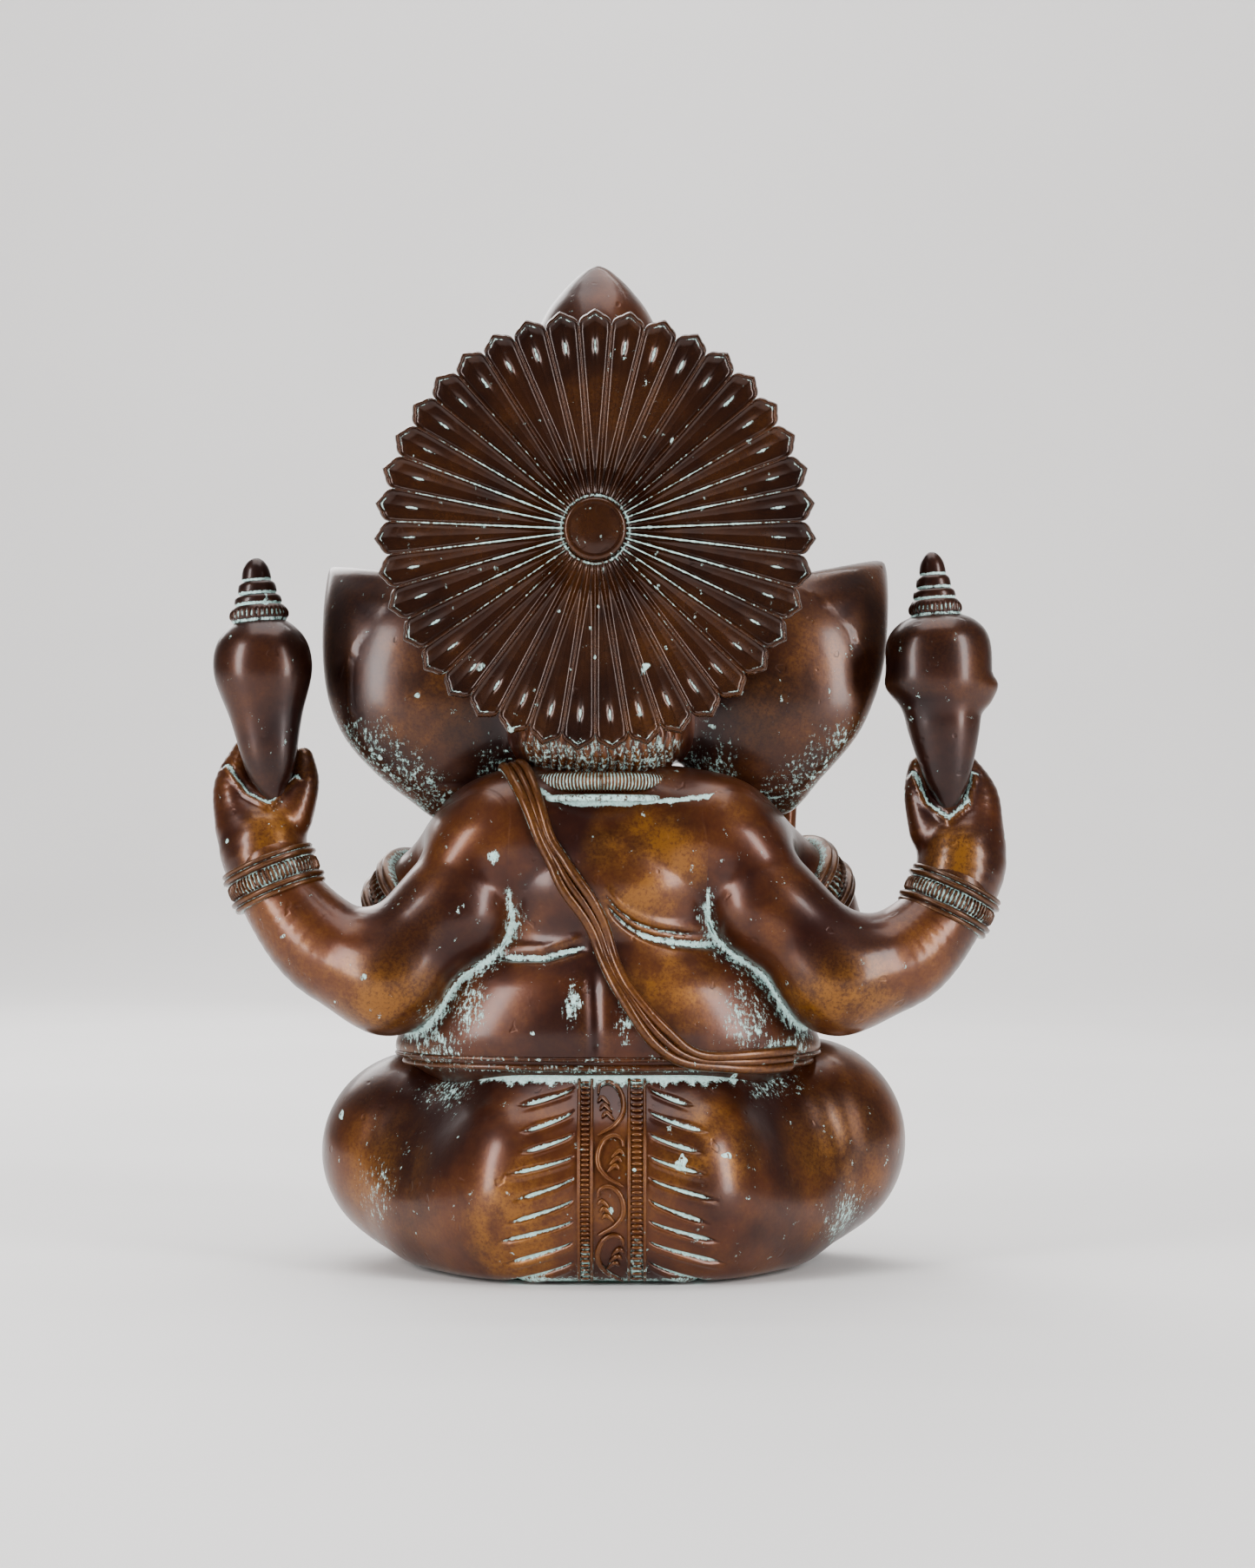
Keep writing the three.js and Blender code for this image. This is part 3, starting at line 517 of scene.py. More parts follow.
def simple(name, colour, other, scale, roughness, metallic, bumpiness):
    """A plain procedural material for the floor and the few parts that stay as the CAD made them."""
    material, nodes, links, shader = new_material(name)
    grain = nodes.new("ShaderNodeTexNoise")
    grain.inputs["Scale"].default_value = scale
    grain.inputs["Detail"].default_value = 6
    links.new(nodes.new("ShaderNodeTexCoord").outputs["Object"], grain.inputs["Vector"])
    tones = nodes.new("ShaderNodeValToRGB")
    for stop, position, tone in zip(tones.color_ramp.elements, (0.35, 0.68), (colour, other)):
        stop.position = position
        stop.color = (*tone, 1)
    links.new(grain.outputs["Fac"], tones.inputs["Fac"])
    links.new(tones.outputs["Color"], shader.inputs["Base Color"])
    bump = nodes.new("ShaderNodeBump")
    bump.inputs["Strength"].default_value = bumpiness
    bump.inputs["Distance"].default_value = 0.0004
    links.new(grain.outputs["Fac"], bump.inputs["Height"])
    links.new(bump.outputs[0], shader.inputs["Normal"])
    shader.inputs["Roughness"].default_value = roughness
    shader.inputs["Metallic"].default_value = metallic
    return material


DARK = bronze("dark_bronze", (0.024, 0.0050, 0.0030), (0.076, 0.0188, 0.0062), (0.245, 0.092, 0.010))
DEEP = bronze("deep_bronze", (0.012, 0.0028, 0.0024), (0.036, 0.0095, 0.0052), (0.150, 0.052, 0.008))
WORN = bronze("worn_bronze", (0.016, 0.0040, 0.0026), (0.054, 0.0145, 0.0056), (0.210, 0.085, 0.014))
HALO_METAL = bronze(
    "halo_bronze", (0.013, 0.0030, 0.0014), (0.030, 0.0080, 0.0024), (0.100, 0.032, 0.004), roughness=0.24
)
BRASS = simple("raw_brass", (0.30, 0.19, 0.06), (0.52, 0.36, 0.14), 240, 0.42, 0.9, 0.3)
FELT = simple("green_felt", (0.015, 0.045, 0.028), (0.035, 0.085, 0.052), 1500, 0.95, 0.0, 0.9)


# ---------------------------------------------------------------- torso and arms
REAR = {
    "left": [[29, 11, 118, 13.5], [44, 17, 102, 13.6], [60, 19, 82, 14.6], [77, 15, 89.7, 13.8],
             [88.8, 12, 102, 11.6], [93.2, 10, 112, 10.6]],
    "right": [[-29, 11, 118, 13.5], [-45, 17, 102, 13.6], [-63, 19, 82, 14.6], [-80, 15, 87, 13.8],
              [-91.2, 12, 97, 11.6], [-95.8, 10, 106, 10.8]],
}
FRONT = {
    "left": [[39, -11, 112, 13.5], [53, -19, 99, 14.5], [60, -29, 82, 12.8], [57, -44, 77, 11.2],
             [51, -57, 79, 9]],
    "right": [[-39, -11, 112, 14], [-55, -19, 101, 14.5], [-61, -29, 84, 12.8], [-58, -42, 87, 11],
              [-50, -52, 99, 9]],
}
ELBOW = 2  # the station where an arm bends
BLADES = {
    "left": ellipsoid((39.5, 15.5, 98), (13.5, 14.5, 14)),
    "right": ellipsoid((-41.5, 15.5, 100), (13.5, 14.5, 13)),
}
DAB = ((31, 24, 115), (2.6, 14, 3.6))  # a spot of verdigris over the left shoulder blade


def arm_shape(stations, softness, *more):
    """An arm that bends sharply at its elbow."""
    return blend(softness, limb(*stations[: ELBOW + 1]), limb(*stations[ELBOW:]), *more)


ARMS = {"rear_arm_" + side: arm_shape(REAR[side], 7, BLADES[side]) for side in SIDES}
ARMS.update({"front_arm_" + side: arm_shape(FRONT[side], 4) for side in SIDES})

TORSO = blend(
    11,
    ellipsoid((0, -13, 75), (57, 44, 30)),
    ellipsoid((0, 8, 68), (50, 26.5, 24)),
    ellipsoid((0, 3, 62), (58.5, 27, 11)),
    ellipsoid((0, 7, 108), (33, 26, 24)),
    ellipsoid((0, -6, 106), (42, 28, 25)),
    ellipsoid((2, -1, 131), (24, 22, 12)),
    limb([-29, 8, 119, 14], [0, 4, 121, 14], [29, 8, 119, 14]),
)


def shoulder_softness(p):
    """Arms flow out of the shoulders, and lie against the back in a sharp crease lower down."""
    t = ramp(p[:, 2], 100, 124)
    return 3 + 17 * t * t * (3 - 2 * t)


def body(p):
    d = TORSO(p)
    k = shoulder_softness(p)
    for arm in ARMS.values():
        d = smooth_min(d, arm(p), k)
    return d


def left_fold(x):
    """Height of the fold on the left of the thread."""
    return 87.4 + 2.8 * ramp(x, 17, 7)


def right_fold(x):
    """Height of the fold that sags away to the right of the thread."""
    return 90.6 + 9.2 * np.exp(-(np.maximum(-x, 0) - 1.2) / 7.5)


def back_folds(p):
    """How deep the folds of the back are cut: one on each side of the thread, and the spine's furrow."""
    x, y, z = p.T
    left = stroke(z - left_fold(x), 0.9) * ramp(x, 5, 9) * ramp(x, 31, 26)
    right = stroke(z - right_fold(x), 1.0) * ramp(-x, -1, 2) * ramp(-x, 32, 27)
    upper = 0.7 * stroke(z - right_fold(x) - 2.6, 0.5) * ramp(-x, -1, 2) * ramp(-x, 27, 20)
    spine = 0.8 * stroke(x - 3.5 - 0.04 * (z - 70), 2.2) * ramp(z, 58, 64) * ramp(z, 86, 80)
    return (left + right + upper + spine) * ramp(y, 0, 8)


def engrave_torso(p):
    """The folds of the back, the navel and the crease of the belly."""
    x, y, z = p.T
    lip = stroke(z - left_fold(x) - 2.8, 1.6) * ramp(x, 5, 9) * ramp(x, 31, 26)
    lip += stroke(z - right_fold(x) - 4.4, 1.6) * ramp(-x, -1, 2) * ramp(-x, 32, 27)
    navel = 2.5 * np.exp(-((x**2 + (z - 72) ** 2) / 5)) * (y < 0)
    crease = 0.9 * stroke(z - 60 + 0.004 * x * x, 1.2) * (y < 0) * ramp(np.abs(x), 42, 32)
    return 1.5 * back_folds(p) - 0.7 * lip * ramp(y, 0, 8) + navel + crease


def torso_patina(p, border):
    """Verdigris lies in the folds, along the arms and the waist, and beside the thread."""
    x, y, z = p.T
    behind = ramp(y, 4, 10)
    crease = (0.58 * stroke(border, 6.5) + 0.35 * stroke(border, 0.9)) * ramp(z, 111, 98) * behind
    waist = 0.55 * stroke(z - 57.4, 1.2) * behind
    smear = patches(p, (0.62, (9.5, 36, 75), (5, 20, 11)), (0.52, (-5, 36, 72), (6, 20, 14)))
    corner = patches(p, (0.50, (-38, 26, 72), (15, 22, 22)), (0.52, (37, 24, 74), (11, 20, 21)))
    web = patches(p, (0.52, (46, 20, 63), (18, 24, 13)), (0.58, (-49, 20, 61), (18, 24, 11)))
    nape_line = 129.2 + np.where(x > 7, 0.030, 0.0018) * (x - 7) ** 2
    nape = 0.95 * stroke(z - nape_line, 0.9) * behind * ramp(np.abs(x), 36, 28)
    folds = 0.95 * back_folds(p) * ramp(np.abs(x), 5, 9)
    return np.maximum.reduce([crease, waist, smear, corner, nape, web, folds, patch(p, *DAB)])


def make_torso():
    shape = above(below(body, 140), 50)
    points, tris = mesh_of(shape, (-110, -70, 48), (110, 50, 142), 1.35)
    near_torso = (np.abs(points[:, 0]) < 45) & (points[:, 1] > 10) & (points[:, 2] > 56)
    points, tris = refine(points, tris, near_torso)
    rest = (settle(shape, points, 1), tris)
    for node, arm in ARMS.items():
        others = [other for key, other in ARMS.items() if key != node]
        border = beyond(arm, [TORSO, *others])
        part, rest = split(*rest, border(rest[0]))
        p = part[0]
        outwards = math.copysign(1, p[0, 0])
        seam = border(p)
        low = ramp(p[:, 2], 112, 104) * ramp(p[:, 1], 0, 8)
        crease = (0.56 * stroke(seam, 4.0) + 0.35 * stroke(seam, 0.9)) * low
        elbow = 0.50 * patch(p, (outwards * 46, 28, 72), (14, 14, 8))
        # Painted highlight, with some rubbed metal, on the outer back of the rear elbows
        gold = 0.9 * patch(p, (outwards * 62, 32, 76), (24, 20, 15))
        patina = np.maximum.reduce([crease, elbow, patch(p, *DAB)])
        piece(node + "_cast", node, part, DARK, seam=seam, relief=5, patina=patina, gold=gold)
    points, tris = rest
    border = beyond(TORSO, ARMS.values())(points)
    points = displaced(points, tris, -engrave_torso(points))
    # Painted highlight, with some rubbed metal, on the right of the upper and middle back
    gold = patches(points, (1.0, (-11, 34, 113), (20, 30, 24)), (0.8, (-18, 34, 80), (16, 30, 15)))
    marks = {"patina": torso_patina(points, border), "gold": gold}
    piece("torso_cast", "torso_casting", (points, tris), DARK, seam=border, relief=8, **marks)


# ---------------------------------------------------------------- seat: hips, folded legs, feet and skirt
SEAT_SOLID = blend(
    9,
    ellipsoid((0, 0, 19), (66, 45, 32)),
    ellipsoid((21, 20, 25), (28, 29, 31)),
    ellipsoid((-21, 20, 25), (28, 29, 31)),
    ellipsoid((0, 22, 27), (28, 27, 28)),
    limb([26, 4, 28, 26], [53, -16, 31, 28]),
    limb([-26, 4, 30, 26], [-55, -16, 34, 29]),
    ellipsoid((0, -24, 26), (44, 32, 23)),
)
WAIST_Z = 56.9
FOOT_Z = 0.7
BRIM = ellipsoid((0, 6, 40), (49, 31, 30))
RIGHT_TOES = [
    ((-43, -62.5, 14), (5.0, 3.4, 3.3)), ((-43.5, -64.2, 10.0), (4.0, 2.9, 2.5)),
    ((-42.6, -64.6, 7.0), (3.8, 2.7, 2.2)), ((-41.4, -64.2, 4.4), (3.4, 2.5, 2.0)),
]
LEFT_TOES = [
    ((42.5, -58.5, 24), (5.0, 3.4, 3.3)), ((42.8, -60.2, 20.0), (4.0, 2.9, 2.5)),
    ((42.0, -60.6, 17.0), (3.8, 2.7, 2.2)), ((40.8, -60.2, 14.4), (3.4, 2.5, 2.0)),
]
TOES = [ellipsoid(*toe) for toe in RIGHT_TOES + LEFT_TOES]
LEGS = [
    limb([52, -28, 21, 18], [22, -48, 16, 14.5], [-14, -57, 13, 10.5]),
    limb([-52, -28, 21, 18], [-22, -46, 18, 14.5], [12, -52, 20, 10.5]),
    limb([-12, -57, 13, 10], [-27, -62, 11, 8.5], [-38, -62, 9, 6.5]),
    limb([12, -52, 20, 10], [27, -56, 20, 8.5], [37, -57, 19, 6.5]),
]


def seat(p):
    d = smooth_min(SEAT_SOLID(p), smooth_max(BRIM(p), p[:, 2] - WAIST_Z, 3), 6)
    for leg in LEGS:
        d = smooth_min(d, leg(p), 2.5)
    for toe in TOES:
        d = smooth_min(d, toe(p), 0.9)
    return smooth_max(d, FOOT_Z - p[:, 2], 3)


LEFT_CHAIN, RIGHT_CHAIN = 5.9, -7.9  # x of the two chains that edge the panel
PLEATS = 9
PLEAT_PITCH = 5.75
PLEAT_TOP = 53.0


def pleat_marks(p):
    """Curved strokes that fall away from both edges of the back panel: how deep, and how high their lips."""
    x, y, z = p.T
    cut = np.zeros(len(p))
    lip = np.zeros(len(p))
    for side, start, shortest in ((1, LEFT_CHAIN + 3.2, 14.0), (-1, 3.4 - RIGHT_CHAIN, 13.5)):
        out = side * x - start
        for i in range(PLEATS):
            reach = shortest + 0.9 * i + 1.6 * math.sin(2.3 * i + side)
            t = np.clip(out / reach, 0, 1)
            fall = 4.6 + 0.35 * i + 0.6 * math.sin(1.7 * i)
            below_line = z - (PLEAT_TOP - PLEAT_PITCH * i - fall * t**0.75)
            inside = ramp(out, -0.4, 1.0) * ramp(out, reach, reach - 4.5)
            broad = 0.24 + 0.40 * np.sin(math.pi * t**1.5)
            cut = np.maximum(cut, inside * stroke(below_line, broad))
            lip = np.maximum(lip, inside * stroke(below_line + 1.5, 0.7))
    return cut * (y > 10), lip * (y > 10)


def drapery_depth(p):
    """Folds of cloth that run round each thigh from the lap, and over the shins."""
    x, y, z = p.T
    depth = np.zeros(len(p))
    for side in (1, -1):
        around = np.arctan2(z - 30, side * x - 8)
        away = np.hypot(side * x - 8, z - 30)
        wave = np.abs(np.sin(around * 6.5 + 0.004 * away * away)) ** 0.6
        here = ramp(side * x, 12, 20) * ramp(-y, 6, 18) * ramp(z, 22, 32)
        depth += (0.6 - wave) * here * ramp(away, 62, 48)
    return depth


def on_back(x, z, lift=0.0):
    """The points of the seat's back above (x, z), found by walking in from behind."""
    p = np.stack([x, np.full_like(x, 80.0), z], 1)
    for _ in range(40):
        p[:, 1] -= seat(p) * 0.9
    p[:, 1] += lift
    return p


def make_seat():
    points, tris = mesh_of(seat, (-88, -74, -2), (85, 55, 64), 1.25)
    for y_low, x_most, z_low, z_high in ((8, 40, 0.8, 58), (14, 35, 1.2, 56)):
        x, y, z = points.T
        points, tris = refine(points, tris, (y > y_low) & (np.abs(x) < x_most) & (z > z_low) & (z < z_high))
        points = settle(seat, points, 1)
    x, y, z = points.T
    cut, lip = pleat_marks(points)
    hollow = 0.8 * stroke(np.abs(x + 1) - 43.5, 7.0) * ramp(y, 4, 14) * ramp(z, 12, 30)
    points = displaced(points, tris, 0.35 * lip - 1.1 * cut - drapery_depth(points) - hollow)
    x, y, z = points.T
    behind = ramp(y, 2, 10)
    ragged = 1.9 + 1.5 * np.sin(x * 0.31) ** 2 * np.cos(x * 0.83) ** 2
    waist = stroke(z - WAIST_Z + 1.3, ragged) * behind * ramp(np.abs(x + 3), 56, 44)
    valley = patches(points, (0.56, (48, 20, 52), (22, 26, 13)), (0.56, (-48, 20, 54), (22, 26, 11)))
    shins = patches(points, (0.52, (-66, 10, 14), (18, 24, 18)), (0.42, (62, 12, 22), (18, 24, 20)))
    foot = 0.62 * stroke(z - 1.5, 1.4) * behind * ramp(np.abs(x), 34, 24)
    chains = 0.62 * ramp(z, 30, 8) * (stroke(x - LEFT_CHAIN, 3.2) + stroke(x - RIGHT_CHAIN, 3.6)) * (y > 10)
    # Painted highlight, with some rubbed metal, on the hips and knees
    gold = patches(points, (0.8, (-27, 40, 36), (16, 30, 20)), (0.8, (27, 42, 18), (16, 30, 24)),
                   (0.5, (-60, 10, 30), (20, 30, 26)), (0.4, (58, 10, 26), (18, 30, 22)))
    marks = {"patina": np.maximum.reduce([cut, waist, valley, shins, foot, chains]), "gold": gold}
    piece("seat_cast", "seat_casting", (points, tris), DARK, relief=7, **marks)


def chain(x, width, pitch):
    """A chain down the back panel: two rails with rungs between them."""
    z = np.linspace(1.5, 55, 70)
    rails = [tube(on_back(np.full_like(z, x + side * width / 2), z, 0.3), 0.50, 8) for side in (-1, 1)]
    z = np.arange(2.2, 55, pitch)
    size = (width * 0.42, 0.85, pitch * 0.37)
    return rails + [bead(spot, size, 8) for spot in on_back(np.full_like(z, x), z, 0.25)]


SCROLL_X = -0.9
SCROLL_TOPS = (54.6, 41.2, 28.0, 14.8)
STEM = [(3.4, 3.2), (2.9, 1.1), (0.6, 0.2), (-2.0, 1.7), (-3.4, 5.0), (-3.1, 8.2), (-0.9, 11.0), (2.0, 12.7),
        (3.4, 13.6)]
LEAF = [(3.5, 5.2), (2.3, 4.1), (0.3, 5.9)]


def scroll(high, way):
    """A crest of foliage on the panel: a stem that arches over and back, and leaves inside its curl."""
    def wire(line, lift, thin, swell, power):
        path = route([(SCROLL_X + way * x, high - drop, 0) for x, drop in line], 6)
        bulge = np.sin(math.pi * np.linspace(0, 1, len(path))) ** power
        return tube(on_back(path[:, 0], path[:, 1], lift), thin + swell * bulge, 8)

    leaves = [[(x - 0.6 * k, drop + 1.9 * k) for x, drop in LEAF] for k in range(3)]
    return [wire(STEM, 0.50, 0.30, 0.46, 0.8)] + [
        wire(leaf, 0.45, 0.26, 0.42, 1) for leaf in leaves
    ]


def make_panel():
    parts = chain(LEFT_CHAIN, 3.4, 1.3) + chain(RIGHT_CHAIN, 4.2, 1.5)
    for i, high in enumerate(SCROLL_TOPS):
        parts += scroll(high, -1 if i % 2 else 1)
    points, tris = merged(parts)
    x, y, z = points.T
    sunk = ramp(y - on_back(x, z)[:, 1], 0.35, 0.05)
    patina = sunk * 0.62 + 0.42 * stroke(z - 4, 6) + 0.45 * stroke(z - 54, 3)
    piece("dhoti_panel", "seat_casting", (points, tris), DARK, relief=4, patina=patina)


# ---------------------------------------------------------------- head, ears and trunk
HEAD_X = 3
SKULL = blend(
    5,
    ellipsoid((HEAD_X, -8, 171), (32, 31, 32)),
    ellipsoid((HEAD_X + 12, -24, 183), (15, 14, 15)),
    ellipsoid((HEAD_X - 12, -24, 183), (15, 14, 15)),
    ellipsoid((HEAD_X, -28, 160), (20, 18, 19)),
    ellipsoid((HEAD_X + 17, -24, 156), (12, 13, 12)),
    ellipsoid((HEAD_X - 17, -24, 156), (12, 13, 12)),
    ellipsoid((2, 4, 149), (24, 21, 16)),
)
NECK_Z = 137
TRUNK = limb(
    [3, -36, 165, 16], [3, -50, 150, 14], [1, -57, 131, 12.5], [-1, -59, 113, 11], [3, -61, 98, 10],
    [13, -65, 88, 9], [25, -67, 86, 7.8], [33, -66.5, 92, 6.6], [33, -65, 100, 5.2],
    per_span=8,
)
EAR_BOWL = {"x": 44.0, "y": -46.0, "z": 162.0, "radius": 51.2, "half": 2.6, "front": -31}
EAR_OUTLINE = {
    "left": [(80.8, 197.8), (81.2, 184), (80.8, 170), (78.8, 157.5), (74, 147.0), (65.5, 137.4), (56, 129.8),
             (47.5, 124.2), (37, 127), (24, 138), (18, 158), (20, 180), (34, 194), (52, 194), (68, 196)],
    "right": [(-80.4, 200.2), (-79.8, 187.5), (-78.2, 170.5), (-74.8, 158.0), (-69.4, 147.2), (-60, 136.2),
              (-50.4, 126.0), (-38, 128), (-22, 138), (-16, 158), (-18, 180), (-28, 192.4), (-46, 192.8),
              (-62, 195.8)],
}


def outline_distance(corners):
    """Signed distance, in the XZ plane, to a closed outline."""
    c = np.array(corners, float)

    def distance(p):
        q = p[:, [0, 2]]
        best = np.full(len(q), FAR)
        inside = np.zeros(len(q), bool)
        for a, b in zip(c, np.roll(c, -1, 0)):
            e = b - a
            w = q - a
            t = np.clip((w @ e) / (e @ e), 0, 1)
            best = np.minimum(best, length(w - t[:, None] * e))
            if a[1] != b[1]:
                crosses = (a[1] > q[:, 1]) != (b[1] > q[:, 1])
                inside ^= crosses & (q[:, 0] < (b[0] - a[0]) * (q[:, 1] - a[1]) / (b[1] - a[1]) + a[0])
        return np.where(inside, -1, 1) * best

    return distance


def ear(side):
    """A leaf of a thick shell, hollow side to the front, its tip sharp and its other edges rounded."""
    tip, *others = EAR_OUTLINE[side]
    outline = outline_distance(route(others + [tip], 4))
    bowl = EAR_BOWL
    centre = np.array([math.copysign(bowl["x"], tip[0]), bowl["y"], bowl["z"]])

    def distance(p):
        shell = np.abs(length(p - centre) - bowl["radius"]) - bowl["half"]
        edge = outline(p)
        fold = 1.4 * np.exp(-((edge + 9) ** 2) / 14) * (p[:, 1] < 0)
        return smooth_max(smooth_max(shell - 0.3 * fold, edge + 0.3, 3.2), bowl["front"] - p[:, 1], 3)

    return distance


EARS = {side: ear(side) for side in SIDES}


def head(p):
    d = smooth_min(smooth_max(SKULL(p), NECK_Z - p[:, 2], 1), TRUNK(p), 5)
    for shape in EARS.values():
        d = smooth_min(d, shape(p), 7)
    return d


def head_relief(p):
    """Hair at the nape, rings round the trunk, eyes, brows and the mark on the forehead."""
    x, y, z = p.T
    nape = ramp(y, 6, 14) * ramp(z, 152, 148) * (np.abs(x - 2) < 27)
    strand = np.abs(np.sin(math.pi * (x + 0.25 * np.sin(z * 0.9)) / 2.3))
    rings = np.clip(np.cos(TAU * (z + 0.06 * (x - 2) ** 2) / 4.4) - 0.35, 0, 1)
    relief = nape * 0.9 * (strand - 0.6) - 0.42 * rings * ramp(z, 152, 146) * (y < -40)
    front = y < -20
    for side in (1, -1):
        a = side * (x - HEAD_X) - 19.5
        b = z - 170.5 - 0.18 * a
        oval = (a / 6.2) ** 2 + (b / 3.0) ** 2
        lids = 1.3 * np.exp(-oval * 1.2) - 1.0 * np.exp(-((np.sqrt(oval) - 1.25) ** 2) * 18)
        brow = np.exp(-((b - 6.2 + 0.05 * a * a) ** 2) / 1.6) * ramp(np.abs(a), 9, 7)
        pupil = np.exp(-((a**2 + (b * 1.6) ** 2) / 2.2))
        relief += front * (lids + 0.9 * brow + 0.7 * pupil)
    return relief + 0.8 * front * stroke(x - HEAD_X, 1.6) * ramp(z, 176, 179) * ramp(z, 190, 187)


def make_head():
    points, tris = mesh_of(head, (-84, -80, 74), (84, 30, 206), 1.3)
    x, y, z = points.T
    fine = ((y > 4) & (z < 153) & (np.abs(x) < 30)) | ((y < -18) & (np.abs(x - 3) < 34))
    points, tris = refine(points, tris, fine)
    rest = (settle(head, points, 1), tris)
    for side, shape in EARS.items():
        border = beyond(shape, [SKULL, TRUNK])
        part, rest = split(*rest, border(rest[0]))
        x, y, z = part[0].T
        low = ramp(z - 0.9 * (np.abs(x) - 44), 148, 132) * ramp(z, 168, 150)
        patina = 0.45 * np.maximum(low, ramp(np.abs(x), 44, 34) * ramp(z, 165, 140)) * ramp(y, -20, -12)
        # Painted highlight, with some rubbed metal, on the back of the ear
        gold = 0.5 * patch(part[0], (math.copysign(50, x[0]), 0, 160), (20, 30, 24))
        marks = {"seam": border(part[0]), "patina": patina, "gold": gold}
        piece("ear_" + side + "_cast", "ear_" + side, part, DEEP, relief=8, **marks)

    root = beyond(TRUNK, [SKULL])
    part, rest = split(*rest, root(rest[0]))
    for name, node, (points, tris) in (("trunk_cast", "trunk", part), ("head_cast", "head_casting", rest)):
        seam = root(points)
        if node == "head_casting":
            seam = np.minimum(np.abs(seam), np.abs(beyond(SKULL, EARS.values())(points)))
        points = displaced(points, tris, head_relief(points))
        nape = 0.46 * ramp(points[:, 1], 4, 12) * ramp(points[:, 2], 152, 146)
        piece(name, node, (points, tris), DARK, seam=seam, relief=5, patina=nape)


def make_tusks():
    whole = limb([-8, -40, 155, 4.2], [-13, -55, 148, 3.2], [-16, -66, 147, 1.3])
    broken = limb([14, -40, 155, 4.2], [18.5, -52, 149.5, 3.4])

    def snapped(p):
        return smooth_max(broken(p), 0.37 * p[:, 2] - 0.93 * p[:, 1] - 104.0, 0.5)

    whole_mesh = mesh_of(whole, (-22, -70, 140), (0, -34, 162), 0.8)
    broken_mesh = mesh_of(snapped, (8, -60, 140), (26, -34, 162), 0.8)
    piece("tusk_whole_cast", "tusk_whole", whole_mesh, WORN, "worn_bronze")
    piece("tusk_broken_cast", "tusk_broken", broken_mesh, WORN, "worn_bronze")


# ---------------------------------------------------------------- crown
CROWN_X, CROWN_Y = 3.0, -6.0
CROWN_PROFILE = [
    (27.5, 189), (30.6, 189.4), (31.8, 191.4), (30.4, 193.8), (29.6, 194.4), (31.4, 196.4), (31.6, 198.2),
    (29.6, 200), (28.6, 201), (29.2, 206), (29.3, 211), (28.3, 215.4), (26.6, 218.6), (24.8, 219.8),
    (26.2, 221.6), (26.2, 224), (24.6, 226), (25.0, 228.6), (23.6, 232.6), (21.4, 235.6), (20.2, 236.6),
    (21.6, 238.6), (21.6, 240.6), (20.2, 242), (20.4, 245.4), (19.2, 248.4), (17.9, 249.4), (15, 249.4),
    (15, 240), (23, 200), (27.5, 189),
]
FINIAL_PEG = [(5, 244), (5, 249.8)]
FINIAL_PROFILE = [
    (17.8, 249.9), (18.6, 251), (18.9, 253.6), (18.2, 257.2), (16.9, 261.2), (14.9, 265.6), (12.9, 268.9),
    (10.4, 272), (7.8, 274.9), (5.3, 277.2), (3.1, 278.9), (1.2, 279.8), (0.3, 279.98),
]


def on_crown(a, r, h):
    """Points round the crown's axis, angle 0 at the front."""
    a, r, h = np.broadcast_arrays(a, r, h)
    return np.stack([CROWN_X + r * np.sin(a), CROWN_Y - r * np.cos(a), h], -1)


def crown_flutes(a, h, r):
    """What the leaves, ropes and teeth of the crown add to its radius."""
    lower = ramp(h, 202, 204) * ramp(h, 216, 214)
    upper = ramp(h, 227, 228.5) * ramp(h, 235, 233.5)
    leaves = 0.9 * np.abs(np.cos(a * 9)) ** 0.6 * lower + 0.7 * np.abs(np.cos(a * 8)) ** 0.6 * upper
    rope = 0.35 * np.cos(a * 60 + h * 2.2) * ((h > 195.2) & (h < 199.4))
    teeth = 0.3 * np.cos(a * 48) * ((h > 221) & (h < 225))
    return np.where((r > 15.5) & (h > 189.2), leaves + rope + teeth - 0.5 * (lower + upper), 0)


def make_crown():
    r, h = np.array(dense(CROWN_PROFILE, 0.8)).T[:, :, None]
    a = turn(288)[None, :]
    parts = [loft(on_crown(a, r + crown_flutes(a, h, r), h), closed=True)]
    parts += [bead(at, (1.5, 1.5, 1.3), 8) for at in on_crown(turn(36), 31.4, 191.4)]
    parts += [bead(at, (2.0, 2.0, 3.4)) for at in on_crown(turn(9), 29.4, 208.5)]
    piece("crown_cast", "crown", merged(parts), DARK, relief=5)
    r, h = np.array(FINIAL_PEG + smooth_profile(FINIAL_PROFILE, 4)).T[:, :, None]
    piece("finial_cast", "crown_finial", loft(on_crown(turn(96)[None, :], r, h)), DARK, relief=4)


# ---------------------------------------------------------------- halo
HALO_X, HALO_Z = 3.3, 203.0
HALO_FRONT, HALO_BACK = 36.0, 40.0
HALO_BORE = 3.4
PETALS = 39
DROP_AT = 49.6  # radius at which each petal has its drop-shaped dimple
BOSS = [(3, -27), (3, 0.1), (8.3, 0.2), (8.5, 1.0), (8.5, 2.8), (8.0, 3.5), (7.3, 3.7), (6.9, 3.5),
        (6.5, 3.6), (4, 4.1), (0.4, 4.3)]


def on_halo(a, radius, y):
    """A row of points round the halo's axis, angle 0 at the top."""
    return np.stack([HALO_X + radius * np.sin(a), y + np.zeros(len(a)), HALO_Z + radius * np.cos(a)], 1)


def petal_edge(share):
    """The rim's radius across one petal: from a valley at 0, to the pointed tip at 0.5, to a valley at 1."""
    t = np.abs(share - 0.5) * 2
    return 55.3 + 3.1 * np.sqrt(np.clip(1 - t**2.2, 0, 1)) + 1.1 * np.clip(1 - t * 2.2, 0, 1)


def from_rib(share, radius):
    """Distance from the nearest rib between two petals."""
    return np.minimum(share, 1 - share) * TAU / PETALS * radius


